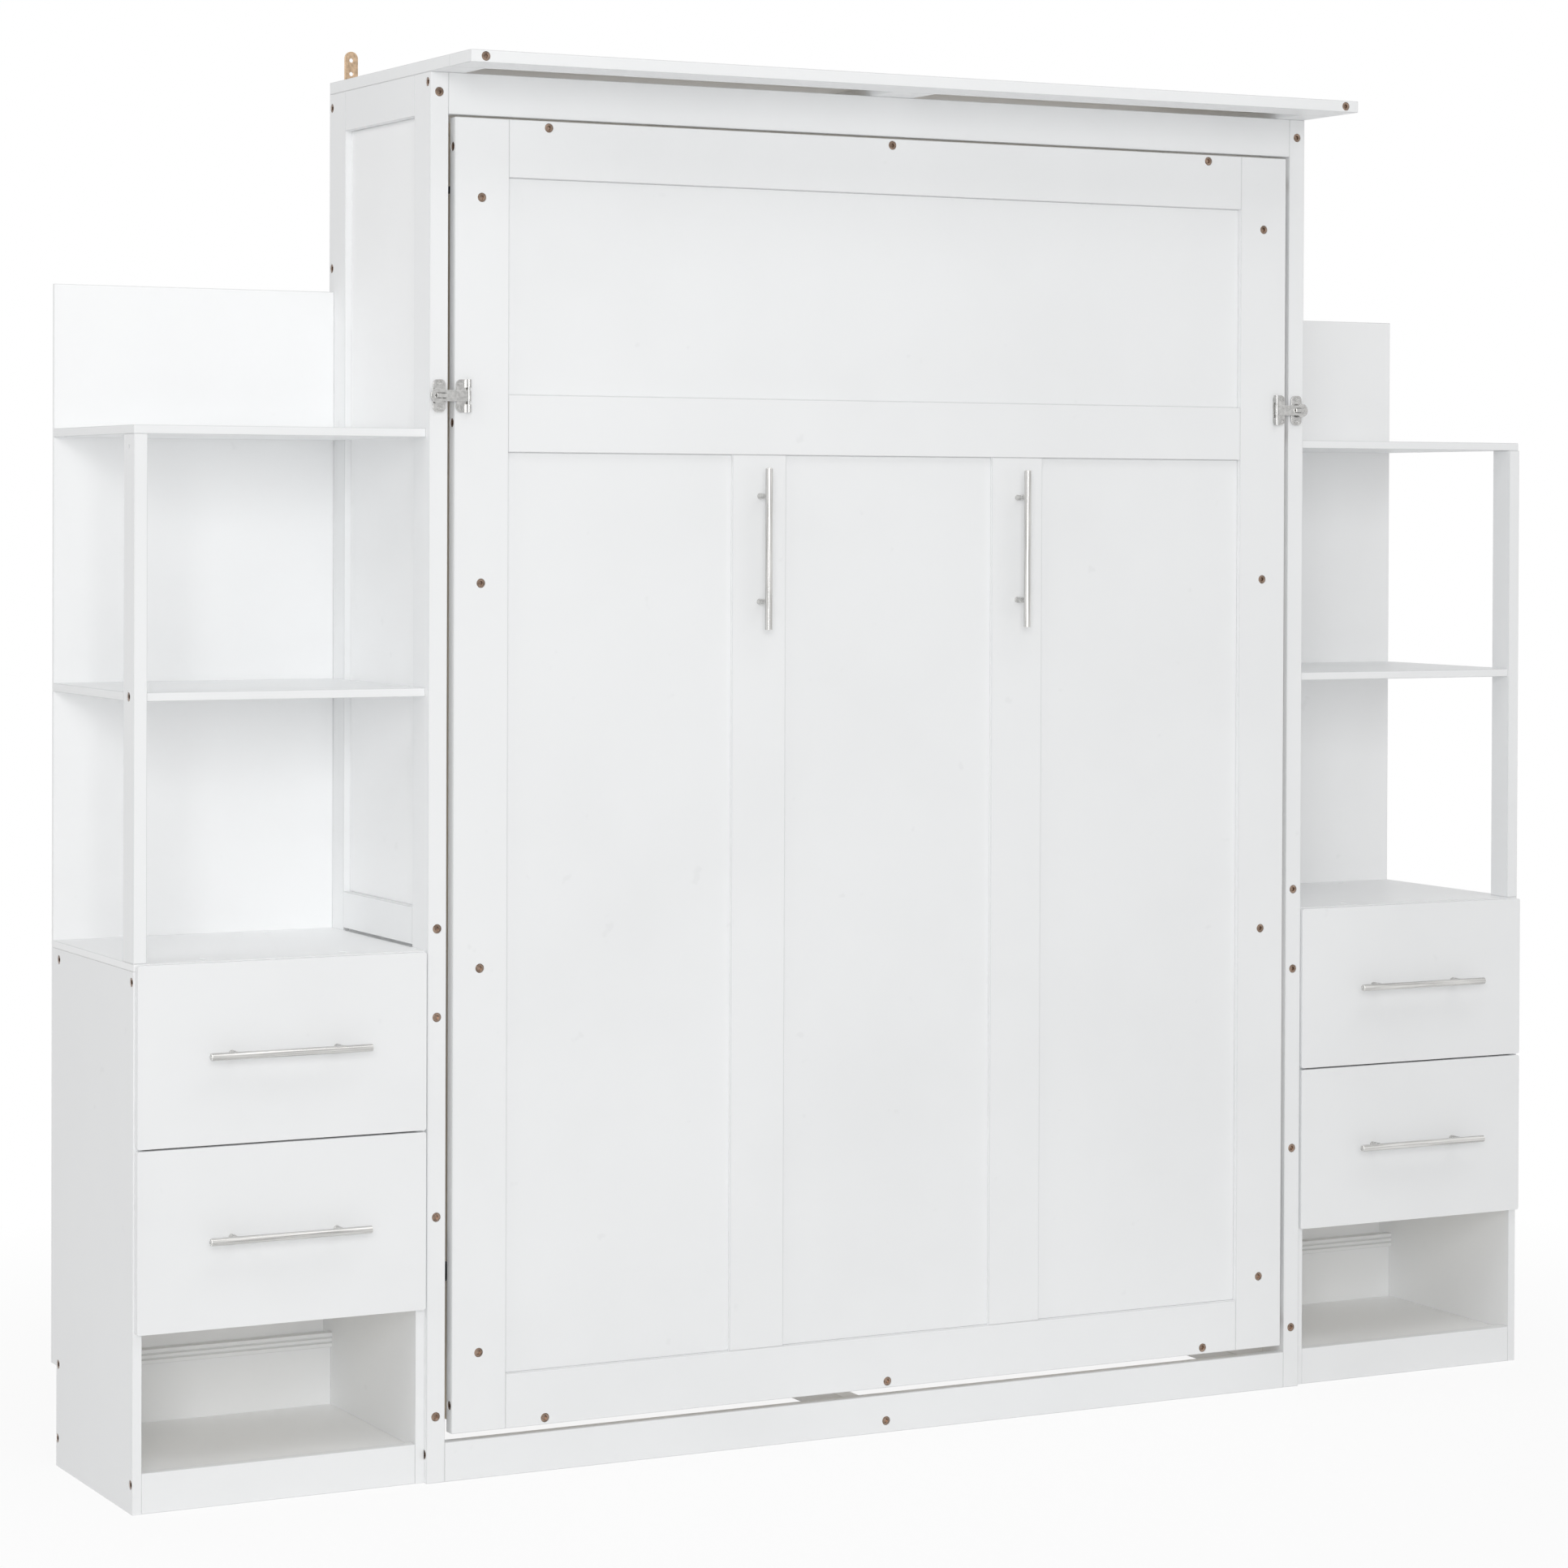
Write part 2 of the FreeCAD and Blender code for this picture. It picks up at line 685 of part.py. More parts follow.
for side in (LEFT, RIGHT):
    axis_pivot = (PIVOT_Y, "pivot_height")
    lower_eye = (LINK_Y, LINK_Z)
    upper_eye = (LEG_LINK_Y, LEG_LINK_Z)
    plate = board(
        span(side, PLATE_IN, INNER),
        (down(PIVOT_Y, "plate_half_width"), f"{LINK_Y} + link_width / 2"),
        ("pivot_height - pivot_plate_drop", "pivot_height + pivot_plate_rise"),
    )
    pin = bar("x", *span(side, f"{RAIL_OUT} + pin_end_gap", INNER), axis_pivot, "pivot_pin_radius")
    link_pin = bar("x", *span(side, f"{LINK_IN} - pin_end_gap", INNER), lower_eye, "link_pin_radius")
    pivot_plates.append(fuse([plate, pin, link_pin]))

    swing = board(
        span(side, RAIL_OUT, HINGE_OUT),
        (down(PIVOT_Y, "plate_half_width"), up(PIVOT_Y, "plate_half_width")),
        ("pivot_height - hinge_plate_drop", "pivot_height + hinge_plate_rise"),
    )
    boss_x = span(side, RAIL_OUT, f"{HINGE_OUT} + pivot_boss_length")
    boss = bar("x", *boss_x, axis_pivot, "pivot_boss_radius")
    bore = bar(
        "x",
        *span(side, RAIL_OUT, INNER),
        axis_pivot,
        "pivot_pin_radius + running_clearance",
    )
    hinge_plates.append(cut(fuse([swing, boss]), [bore]))

    leg_plate = board(
        span(side, RAIL_OUT, HINGE_OUT),
        (BED_Y[0], up(LEG_Y, "plate_half_width")),
        (down(LEG_Z, "leg_plate_half_height"), up(LEG_Z, "leg_plate_half_height")),
    )
    leg_pin = bar(
        "x",
        *span(side, RAIL_OUT, f"{INNER} - pin_end_gap"),
        (LEG_Y, LEG_Z),
        "leg_pin_radius",
    )
    hinge_plates.append(fuse([leg_plate, leg_pin]))

    leg_x = span(side, LEG_IN, LEG_OUT)
    foot_z = f"{LEG_Z} - (pivot_height + leg_setback - pivot_setback - leg_floor_gap)"
    ear_top = f"{LEG_LINK_Z} + link_width / 2"
    leg_flat = fuse(
        [
            board(
                leg_x,
                (f"{LEG_Y} - leg_width / 2", f"{LEG_Y} + leg_width / 2"),
                (foot_z, ear_top),
            ),
            board(
                leg_x,
                (LEG_Y, f"{LEG_LINK_Y} + link_width / 2"),
                (f"{LEG_LINK_Z} - link_width / 2", ear_top),
            ),
            bar("x", *span(side, f"{LINK_IN} - pin_end_gap", LEG_OUT), upper_eye, "link_pin_radius"),
        ]
    )
    leg_bore = bar(
        "x",
        *span(side, f"{LEG_IN} - overrun", f"{LEG_OUT} + overrun"),
        (LEG_Y, LEG_Z),
        "leg_pin_radius + running_clearance",
    )
    legs[side] = cut(leg_flat, [leg_bore])

    # the flat of the link is made upright on its lower eye, then leaned to its upper eye
    link_flat = doc.addObject("Part::Box", "link_flat")
    bind(link_flat, "Length", "link_thickness")
    bind(link_flat, "Width", "link_width")
    run_y = "(leg_setback - pivot_setback)"
    run_z = f"({LEG_Z} - pivot_height)"
    bind(link_flat, "Height", f"sqrt({run_y} ^ 2 + {run_z} ^ 2)")
    link_flat.Placement = FreeCAD.Placement(
        FreeCAD.Vector(), FreeCAD.Rotation(FreeCAD.Vector(1, 0, 0), 0)
    )
    lean = f"atan2(-{run_y}; {run_z})"
    bind(link_flat, "Placement.Rotation.Angle", lean)
    place(
        link_flat,
        span(side, LINK_IN, LINK_OUT)[0],
        f"{LINK_Y} - link_width / 2 * cos({lean})",
        f"{LINK_Z} - link_width / 2 * sin({lean})",
    )
    link_x = span(side, LINK_IN, LINK_OUT)
    ends = [bar("x", *link_x, spot, "link_width / 2") for spot in (lower_eye, upper_eye)]
    reach = span(side, f"{LINK_IN} - overrun", f"{LINK_OUT} + overrun")
    eyes = [
        bar("x", *reach, lower_eye, "link_pin_radius + running_clearance"),
        bar("x", *reach, upper_eye, "link_pin_radius + link_loose_clearance"),
    ]
    links[side] = cut(fuse([link_flat] + ends), eyes)

# latches: a hinged arm on the bed face drops over a turning knob on the stile
LATCH_MID = up(RAIL_MID_CENTRE, "latch_rise")
LATCH_Z = (f"{LATCH_MID} - latch_plate_height / 2", f"{LATCH_MID} + latch_plate_height / 2")
KEEPER_FRONT = down(FRONT, "latch_plate_thickness")
KEEPER_X = f"{INNER} + latch_keeper_inset"
DOOR_PLATE_OUT = f"{DOOR_X} - latch_door_plate_inset"
DOOR_PLATE_FRONT = down(DOOR_FRONT, "latch_plate_thickness")
BARREL_X = f"{DOOR_X} - latch_barrel_inset"
BARREL_Y = down(DOOR_PLATE_FRONT, "latch_barrel_radius")
ARM_Y = (f"{BARREL_Y} - latch_arm_thickness / 2", f"{BARREL_Y} + latch_arm_thickness / 2")
ARM_Z = (f"{LATCH_MID} - latch_arm_height / 2", f"{LATCH_MID} + latch_arm_height / 2")
ARM_END = f"{KEEPER_X} + latch_arm_reach"
KNOB_REAR = down(ARM_Y[0], "latch_knob_gap")
keepers = []
keeper_screws = []
latch_plates = []
latch_plate_screws = []
knobs = {}
arms = {}
for side in (LEFT, RIGHT):
    keeper_x = at_x(side, KEEPER_X)
    blank = board(
        span(side, f"{KEEPER_X} - latch_plate_width / 2", f"{KEEPER_X} + latch_plate_width / 2"),
        (KEEPER_FRONT, FRONT),
        LATCH_Z,
    )
    keeper = Drilled(round_corners(blank, "latch_plate_round"))
    keeper.holes.append(
        bar(
            "y",
            down(KEEPER_FRONT, "overrun"),
            up(FRONT, "overrun"),
            (keeper_x, LATCH_MID),
            "latch_post_radius + running_clearance",
        )
    )
    blank = board(
        span(side, f"{DOOR_PLATE_OUT} - latch_door_plate_width", DOOR_PLATE_OUT),
        (DOOR_PLATE_FRONT, DOOR_FRONT),
        LATCH_Z,
    )
    door_plate = Drilled(round_corners(blank, "latch_plate_round"))
    screw_x = at_x(side, f"{DOOR_PLATE_OUT} - latch_door_plate_width / 4")
    for step in ("-screw_spacing / 2", "screw_spacing / 2"):
        height = f"{LATCH_MID} + ({step})"
        keeper_screws.append(
            fastener(
                "screw", "y", 1, KEEPER_FRONT, (keeper_x, height), "screw_length", [keeper, front_stile[side]]
            )
        )
        latch_plate_screws.append(
            fastener(
                "screw",
                "y",
                1,
                DOOR_PLATE_FRONT,
                (screw_x, height),
                "screw_length",
                [door_plate, face_stile[side]],
            )
        )
    keepers.append(keeper.done())
    ends = []
    for level in (
        (LATCH_Z[0], up(LATCH_Z[0], "latch_barrel_length")),
        (down(LATCH_Z[1], "latch_barrel_length"), LATCH_Z[1]),
    ):
        ends.append(bar("z", *level, (at_x(side, BARREL_X), BARREL_Y), "latch_barrel_radius"))
        ends.append(
            board(
                span(side, f"{BARREL_X} - latch_barrel_radius", f"{BARREL_X} + latch_barrel_radius"),
                (BARREL_Y, DOOR_PLATE_FRONT),
                level,
            )
        )
    ends.append(bar("z", *LATCH_Z, (at_x(side, BARREL_X), BARREL_Y), "latch_pin_radius"))
    latch_plates.append(fuse([door_plate.done()] + ends))

    tongue = board(span(side, BARREL_X, ARM_END), ARM_Y, ARM_Z)
    round_end = bar("y", *ARM_Y, (at_x(side, ARM_END), LATCH_MID), "latch_arm_end_radius")
    barrel = bar(
        "z", *ARM_Z, (at_x(side, BARREL_X), BARREL_Y), "latch_barrel_radius - latch_pin_gap"
    )
    slot_flat = "(latch_slot_length - latch_slot_height) / 2"
    slot_y = (down(ARM_Y[0], "overrun"), up(ARM_Y[1], "overrun"))
    slot = [
        board(
            span(side, f"{KEEPER_X} - {slot_flat}", f"{KEEPER_X} + {slot_flat}"),
            slot_y,
            (f"{LATCH_MID} - latch_slot_height / 2", f"{LATCH_MID} + latch_slot_height / 2"),
        )
    ]
    for end in (f"{KEEPER_X} - {slot_flat}", f"{KEEPER_X} + {slot_flat}"):
        slot.append(bar("y", *slot_y, (at_x(side, end), LATCH_MID), "latch_slot_height / 2"))
    arm_bore = bar(
        "z",
        f"{ARM_Z[0]} - overrun",
        f"{ARM_Z[1]} + overrun",
        (at_x(side, BARREL_X), BARREL_Y),
        "latch_pin_radius + running_clearance",
    )
    arms[side] = cut(fuse([tongue, round_end, barrel]), slot + [arm_bore])

    post = bar(
        "y", KNOB_REAR, f"{FRONT} - latch_knob_gap / 2", (keeper_x, LATCH_MID), "latch_post_radius"
    )
    grip = board(
        span(side, f"{KEEPER_X} - latch_knob_length / 2", f"{KEEPER_X} + latch_knob_length / 2"),
        (down(KNOB_REAR, "latch_knob_thickness"), KNOB_REAR),
        (f"{LATCH_MID} - latch_knob_height / 2", f"{LATCH_MID} + latch_knob_height / 2"),
    )
    knobs[side] = fuse([post, grip])

# towers
TOWER_IN = HALF
TOWER_OUT = f"{HALF} + tower_width"
TOWER_MID = f"{HALF} + tower_width / 2"
BAY = (f"{HALF} + tower_panel_thickness", f"{HALF} + tower_width - tower_panel_thickness")
TOWER_FRONT = up(FRONT, "tower_setback")
TOWER_REAR = down(REAR, "tower_wall_gap")
PANEL_REAR = down(TOWER_REAR, "tower_back_thickness")
NOTCH_FRONT = down(PANEL_REAR, "notch_depth")
DECK_Z = ("deck_top - deck_thickness", "deck_top")
SHELF_Y = (up(FRONT, "shelf_setback"), PANEL_REAR)
SHELF_Z = ("shelf_top - shelf_thickness", "shelf_top")
MID_SHELF_Z = ("mid_shelf_top - shelf_thickness", "mid_shelf_top")
POST_Y = (TOWER_FRONT, up(TOWER_FRONT, "post_depth"))
BACK_RAIL_Y = (down(NOTCH_FRONT, "back_rail_thickness"), NOTCH_FRONT)
KICK_Y = (TOWER_FRONT, up(TOWER_FRONT, "kick_thickness"))
TOP_RAIL_Z = ("deck_top - deck_thickness - top_rail_height", "deck_top - deck_thickness")
BATTEN_Z = ("batten_rail_bottom", "batten_rail_bottom + batten_rail_height")
BACK_BOARD_Y = (down(NOTCH_FRONT, "back_board_thickness"), NOTCH_FRONT)
tower_sides = []
tower_decks = []
tower_front_rails = []
tower_backs = []
tower_battens = []
tower_shelves = []
tower_posts = []
for side in (LEFT, RIGHT):
    both = span(side, TOWER_IN, TOWER_OUT)
    bay = span(side, *BAY)
    walls = {}
    for name, low, high in (("inner", TOWER_IN, BAY[0]), ("outer", BAY[1], TOWER_OUT)):
        wall = board(span(side, low, high), (TOWER_FRONT, PANEL_REAR), ("0", DECK_Z[0]))
        notch = board(
            span(side, f"{low} - overrun", f"{high} + overrun"),
            (NOTCH_FRONT, up(PANEL_REAR, "overrun")),
            ("-overrun", "notch_height"),
        )
        walls[name] = Drilled(cut(wall, [notch]))
    kick = Drilled(board(bay, KICK_Y, ("0", "kick_height")))
    top_rail = Drilled(board(bay, KICK_Y, TOP_RAIL_Z))
    back_top = Drilled(board(bay, BACK_RAIL_Y, TOP_RAIL_Z))
    batten = Drilled(board(bay, BACK_RAIL_Y, BATTEN_Z))
    for third in (1, 2):
        level = f"{BATTEN_Z[0]} + {third} * batten_rail_height / 3"
        batten.holes.append(
            board(
                span(side, f"{BAY[0]} - overrun", f"{BAY[1]} + overrun"),
                (down(BACK_RAIL_Y[0], "overrun"), up(BACK_RAIL_Y[0], "batten_groove")),
                (f"{level} - batten_groove / 2", f"{level} + batten_groove / 2"),
            )
        )
    back_low = Drilled(board(bay, BACK_BOARD_Y, ("0", BATTEN_Z[0])))
    deck = Drilled(board(both, (TOWER_FRONT, PANEL_REAR), DECK_Z))
    for step in ("-deck_hole_spacing / 2", "deck_hole_spacing / 2"):
        for hole_y in (up(TOWER_FRONT, "deck_hole_front"), down(PANEL_REAR, "deck_hole_rear")):
            deck.holes.append(
                bar(
                    "z",
                    "deck_top - deck_hole_depth",
                    "deck_top + overrun",
                    (f"{at_x(side, TOWER_MID)} + ({step})", hole_y),
                    "deck_hole_radius",
                )
            )
    tower_decks.append(deck.done())
    tower_decks.append(
        board(bay, (KICK_Y[1], BACK_BOARD_Y[0]), ("floor_top - deck_thickness", "floor_top"))
    )
    tower_backs.append(board(both, (PANEL_REAR, TOWER_REAR), ("notch_height", "tower_back_top")))
    shelf = Drilled(board(both, SHELF_Y, MID_SHELF_Z))
    post_x = span(side, f"{TOWER_OUT} - post_width", TOWER_OUT)
    corner = board(
        span(side, f"{TOWER_OUT} - post_width", f"{TOWER_OUT} + overrun"),
        (down(SHELF_Y[0], "overrun"), POST_Y[1]),
        (f"{MID_SHELF_Z[0]} - overrun", f"{MID_SHELF_Z[1]} + overrun"),
    )
    shelf.holes.append(corner)
    post = Drilled(board(post_x, POST_Y, ("deck_top", SHELF_Z[0])))
    outer_face = at_x(side, TOWER_OUT)
    # small blind hole near the head of the post
    post.holes.append(
        bar(
            "x",
            *span(side, f"{TOWER_OUT} - post_hole_depth", f"{TOWER_OUT} + overrun"),
            (middle(POST_Y), down(SHELF_Z[0], "post_hole_drop")),
            "post_hole_radius",
        )
    )
    for across, length, through in (
        ((middle(KICK_Y), middle(TOP_RAIL_Z)), "edge_bolt_length", [walls["outer"], top_rail]),
        ((middle(BACK_RAIL_Y), middle(TOP_RAIL_Z)), "edge_bolt_length", [walls["outer"], back_top]),
        ((middle(BACK_RAIL_Y), middle(BATTEN_Z)), "edge_bolt_length", [walls["outer"], batten]),
        ((middle(BACK_BOARD_Y), "base_bolt_height"), "edge_bolt_length", [walls["outer"], back_low]),
        ((middle(KICK_Y), "base_bolt_height"), "edge_bolt_length", [walls["outer"], kick]),
        ((middle(POST_Y), middle(MID_SHELF_Z)), "post_bolt_length", [post, shelf]),
    ):
        cabinet_bolts.append(fastener("bolt", "x", -side, outer_face, across, length, through))
    tower_sides += [walls["inner"].solid, walls["outer"].done()]
    tower_front_rails += [kick.done(), top_rail.done()]
    tower_battens += [back_top.done(), batten.done(), back_low.done()]
    tower_shelves += [shelf.done(), board(both, SHELF_Y, SHELF_Z)]
    tower_posts.append(post.done())

# drawers and the runner bars they slide on
DRAWER_REAR = down(TOWER_FRONT, "drawer_front_clearance")
DRAWER_FRONT_Y = (down(DRAWER_REAR, "drawer_front_thickness"), DRAWER_REAR)
FRONT_X = (f"{TOWER_IN} + drawer_side_reveal", f"{TOWER_OUT} - drawer_side_reveal")
BOX_X = (f"{BAY[0]} + drawer_side_room", f"{BAY[1]} - drawer_side_room")
BOX_Y = (DRAWER_REAR, down(BACK_RAIL_Y[0], "drawer_back_room"))
UPPER_BOTTOM = "deck_top - drawer_top_reveal - drawer_front_height"
LEVELS = {"upper": UPPER_BOTTOM, "lower": f"{UPPER_BOTTOM} - drawer_gap - drawer_front_height"}
runners = []
drawers = {}
for side_name, side in SIDES.items():
    for level_name, level in LEVELS.items():
        blank = board(span(side, *FRONT_X), DRAWER_FRONT_Y, (level, up(level, "drawer_front_height")))
        front = round_corners(blank, "drawer_corner_round")
        low = up(level, "drawer_box_drop")
        high = up(low, "drawer_box_height")
        rest = up(level, "runner_rise")
        pieces = []
        for wall_in, wall_out, cleat, runner in (
            (
                BOX_X[0],
                f"{BOX_X[0]} + drawer_wall",
                (f"{BOX_X[0]} - runner_width", BOX_X[0]),
                (BAY[0], f"{BAY[0]} + runner_width"),
            ),
            (
                f"{BOX_X[1]} - drawer_wall",
                BOX_X[1],
                (BOX_X[1], f"{BOX_X[1]} + runner_width"),
                (f"{BAY[1]} - runner_width", BAY[1]),
            ),
        ):
            pieces.append(board(span(side, wall_in, wall_out), BOX_Y, (low, high)))
            pieces.append(board(span(side, *cleat), BOX_Y, (rest, up(rest, "runner_height"))))
            runners.append(board(span(side, *runner), BOX_Y, (down(rest, "runner_height"), rest)))
        inside = span(side, f"{BOX_X[0]} + drawer_wall", f"{BOX_X[1]} - drawer_wall")
        back_y = (down(BOX_Y[1], "drawer_wall"), BOX_Y[1])
        pieces.append(board(inside, back_y, (low, high)))
        pieces.append(board(inside, (BOX_Y[0], back_y[0]), (low, up(low, "drawer_bottom"))))
        pull = handle(
            "x",
            (at_x(side, TOWER_MID), up(level, "drawer_front_height / 2")),
            DRAWER_FRONT_Y[0],
        )
        drawers[f"{level_name}_{side_name}"] = (front, pieces, pull)

# nodes
node("cabinet_front_stile_left", [front_stile[LEFT].done()])
node("cabinet_front_stile_right", [front_stile[RIGHT].done()])
node("cabinet_rear_stiles", [rear_stile[LEFT].done(), rear_stile[RIGHT].done()])
node("cabinet_side_rails", [each.done() for rails in (side_top, side_mid) for each in rails.values()])
node("cabinet_side_panels", side_panels)
node("cabinet_lower_boards", [each.done() for each in lower_board.values()])
node("header_rail", [header.done()])
node("base_rail", [base.done()])
node("rear_cross_rails", [rear_top.done(), rear_mid.done(), rear_low.done()])
node("floor_stretchers", [stretcher.done()] + sole_boards)
node("crown_front_rail", [crown_rail.done()])
node("crown_arms", [each.done() for each in crown_arm.values()] + crown_frame)
node("crown_panels", crown_panels)
node("wall_brackets", brackets)
node("pivot_plates", pivot_plates)
node("latch_keeper_plates", keepers)
node("latch_keeper_screws", keeper_screws)
node("tower_side_panels", tower_sides)
node("tower_decks", tower_decks)
node("tower_front_rails", tower_front_rails)
node("tower_back_panels", tower_backs)
node("tower_back_battens", tower_battens)
node("tower_shelves", tower_shelves)
node("tower_posts", tower_posts)
node("drawer_runners", runners)
node("cabinet_bolts", cabinet_bolts)
node("bed_face_stiles", [each.done() for each in face_stile.values()])
node("bed_face_rails", [each.done() for each in face_rail])
node("bed_face_panels", face_panels)
node("bed_face_battens", face_battens)
node("bed_side_rails", [each.done() for each in bed_rail.values()] + slat_ledges)
node("bed_end_rails", [head_rail.done(), foot_rail.done()])
node("bed_centre_beam", [beam])
node("bed_slats", slats)
node("bed_handles", bed_handles)
node("bed_hinge_plates", hinge_plates)
node("latch_hinge_plates", latch_plates)
node("latch_hinge_screws", latch_plate_screws)
node("bed_bolts", bed_bolts)
for side_name, side in SIDES.items():
    node(f"leg_{side_name}", [legs[side]])
    node(f"leg_link_{side_name}", [links[side]])
    node(f"latch_arm_{side_name}", [arms[side]])
    node(f"latch_knob_{side_name}", [knobs[side]])
for name, (front, box, pull) in drawers.items():
    node(f"drawer_front_{name}", [front])
    node(f"drawer_box_{name}", box)
    node(f"drawer_handle_{name}", [pull])

doc.recompute()
for thing in doc.Objects:
    bad = [word for word in thing.State if word in ("Invalid", "Error")]
    if bad:
        raise RuntimeError(f"{thing.Label} is {bad[0]}")
for name, thing in nodes.items():
    if thing.Shape.isNull() or not thing.Shape.isValid():
        raise RuntimeError(f"{name} has no valid shape")
    thing.Shape.exportStep(f"parts/{name}.step")
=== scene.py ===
import json
import math

import bmesh
import bpy
from bpy.props import FloatProperty, FloatVectorProperty, PointerProperty
from bpy.types import Operator, Panel, PropertyGroup
from mathutils import Matrix, Vector

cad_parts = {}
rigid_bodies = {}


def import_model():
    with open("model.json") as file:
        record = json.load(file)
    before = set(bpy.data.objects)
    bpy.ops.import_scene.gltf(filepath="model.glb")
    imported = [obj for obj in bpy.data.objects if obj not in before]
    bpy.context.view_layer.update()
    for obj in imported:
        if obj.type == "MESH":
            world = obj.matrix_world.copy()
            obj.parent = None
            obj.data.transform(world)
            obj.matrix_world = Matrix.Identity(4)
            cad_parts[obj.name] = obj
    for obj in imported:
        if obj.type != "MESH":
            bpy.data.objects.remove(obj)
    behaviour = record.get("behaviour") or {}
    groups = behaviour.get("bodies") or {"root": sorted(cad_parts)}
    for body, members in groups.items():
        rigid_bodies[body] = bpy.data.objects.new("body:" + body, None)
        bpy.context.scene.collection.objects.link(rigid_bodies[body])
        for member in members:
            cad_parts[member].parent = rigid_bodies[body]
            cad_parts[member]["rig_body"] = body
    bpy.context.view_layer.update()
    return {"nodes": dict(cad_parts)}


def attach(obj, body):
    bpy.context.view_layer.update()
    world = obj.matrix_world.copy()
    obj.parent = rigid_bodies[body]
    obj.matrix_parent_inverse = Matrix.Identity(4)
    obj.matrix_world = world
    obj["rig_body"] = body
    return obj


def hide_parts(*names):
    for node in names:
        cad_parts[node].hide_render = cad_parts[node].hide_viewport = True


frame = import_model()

bl_info = {
    "name": "Wall bed",
    "version": (1, 0, 0),
    "blender": (4, 5, 0),
    "location": "View3D > Sidebar > Wall bed",
    "description": "Finishes a fold-up bed in a painted cabinet with a drawer tower on each side",
    "category": "Object",
}

# The photograph is square, and its optical axis meets it above the middle.
PHOTO_PIXELS = 1932
SENSOR_MILLIMETRES = 36.0
# How far the camera sees, in metres.
VIEW_REACH = 200.0

# Painted boards, by the way their grain runs.
UPRIGHT = (
    "cabinet_front_stile_left",
    "cabinet_front_stile_right",
    "cabinet_rear_stiles",
    "tower_side_panels",
    "tower_posts",
    "bed_face_stiles",
    "bed_face_panels",
    "bed_face_battens",
)
LEVEL = (
    "header_rail",
    "base_rail",
    "rear_cross_rails",
    "crown_front_rail",
    "tower_front_rails",
    "tower_shelves",
    "tower_back_battens",
    "bed_face_rails",
    "drawer_front_upper_left",
    "drawer_front_upper_right",
    "drawer_front_lower_left",
    "drawer_front_lower_right",
)
DEEP = ("cabinet_side_rails", "crown_arms", "crown_panels", "floor_stretchers")
THIN_PANELS = ("cabinet_side_panels", "tower_back_panels", "cabinet_lower_boards")
DECKS = ("tower_decks",)
BARE_UPRIGHT = ("bed_side_rails", "bed_centre_beam")
BARE_LEVEL = ("bed_end_rails", "bed_slats")
BOXES = (
    "drawer_runners",
    "drawer_box_upper_left",
    "drawer_box_upper_right",
    "drawer_box_lower_left",
    "drawer_box_lower_right",
)
BLACK = (
    "pivot_plates",
    "bed_hinge_plates",
    "leg_left",
    "leg_right",
    "leg_link_left",
    "leg_link_right",
)
LATCHES = (
    "latch_keeper_plates",
    "latch_keeper_screws",
    "latch_hinge_plates",
    "latch_hinge_screws",
    "latch_arm_left",
    "latch_arm_right",
    "latch_knob_left",
    "latch_knob_right",
)
BOLTS = ("cabinet_bolts", "bed_bolts")
PULLS = (
    "bed_handles",
    "drawer_handle_upper_left",
    "drawer_handle_upper_right",
    "drawer_handle_lower_left",
    "drawer_handle_lower_right",
)
# How often light is followed from board to board.
LIGHT_STEPS = 16
# No finish sends back more light than this.
BRIGHTEST = 0.97
# Face mark for rounded edges, read by the finishes: the paint greys there as painted shade along
# joints and outlines, the plating brightens there as polished wear.
SHADE_AND_WEAR_MARK = "edge_wear"
# How finely a figure repeats along each axis of the object: low along the grain or the drawn lines.
PLAIN = (1.0, 1.0, 1.0)
EVEN = (60.0, 60.0, 60.0)
GRAIN = {"upright": (60.0, 60.0, 3.0), "level": (3.0, 60.0, 60.0), "deep": (60.0, 3.0, 60.0)}
DRAWN_UPRIGHT = (80.0, 80.0, 1.5)
DRAWN_LEVEL = (1.5, 80.0, 80.0)
STREAK_FINENESS = 0.6
PORE_FINENESS = 4.0
# Most noise lies between these two values, which a span stretches to its own range.
NOISE_LOW = 0.3
NOISE_HIGH = 0.7
# Tones of the paint against its plain colour, and how much of a scuff shows.
PAINT_DULL = 0.972
PAINT_CLEAR = 1.012
PAINT_SCUFFED = 0.88
# Grey of the rounded edges of the paint: painted shade that draws the joints and outlines.
PAINT_SHADE_AT_EDGES = 0.86
SCUFF_SHARE = 0.3
PAINT_SHINE = 0.4
# Tones of bare wood, of plating at edges and of the black coat against their plain colours.
WOOD_DARK = 0.72
WOOD_PALE = 1.22
PLATING_AT_EDGES = 1.3
COAT_DARK = 0.8
COAT_PALE = 1.6
# How much smoother and rougher than its mean a metal is between and on its lines.
LINES_SMOOTHER = 0.07
LINES_ROUGHER = 0.09
# Points this near are one point, and faces that turn less than this are one face.
SAME_POINT = 1e-6
STRAIGHT = math.radians(1.0)
# Edges that turn more than this are rounded: boards by their crease, fittings by their rim.
CREASE = math.radians(30.0)
RIM = math.radians(60.0)
SHORTEST_BOARD_EDGE = 0.011
BOARD_SEGMENTS = 3
RIM_SEGMENTS = 2
# Edges that turn more than this stay crisp in the shading.
SHARP = math.radians(50.0)
# The floor reaches far past the view and is as white as paper.
FLOOR_REACH = 60.0
FLOOR_COLOUR = (0.9, 0.9, 0.9, 1.0)
FLOOR_ROUGH = 0.9
FLOOR_SHINE = 0.1
SKY_COLOUR = (1.0, 1.0, 1.0, 1.0)
# Each lamp's name, power setting, size, place and aim.
LAMPS = (
    ("Top", "top_power", (5.0, 2.0), (0.6, -3.2, 6.0), (0.0, 0.0, 1.2)),
    ("Front", "front_power", (4.0, 4.0), (-4.5, -9.0, 3.0), (0.0, 0.0, 1.0)),
    ("Side", "side_power", (3.0, 2.0), (-6.0, -1.0, 4.6), (-0.8, 0.0, 1.6)),
)


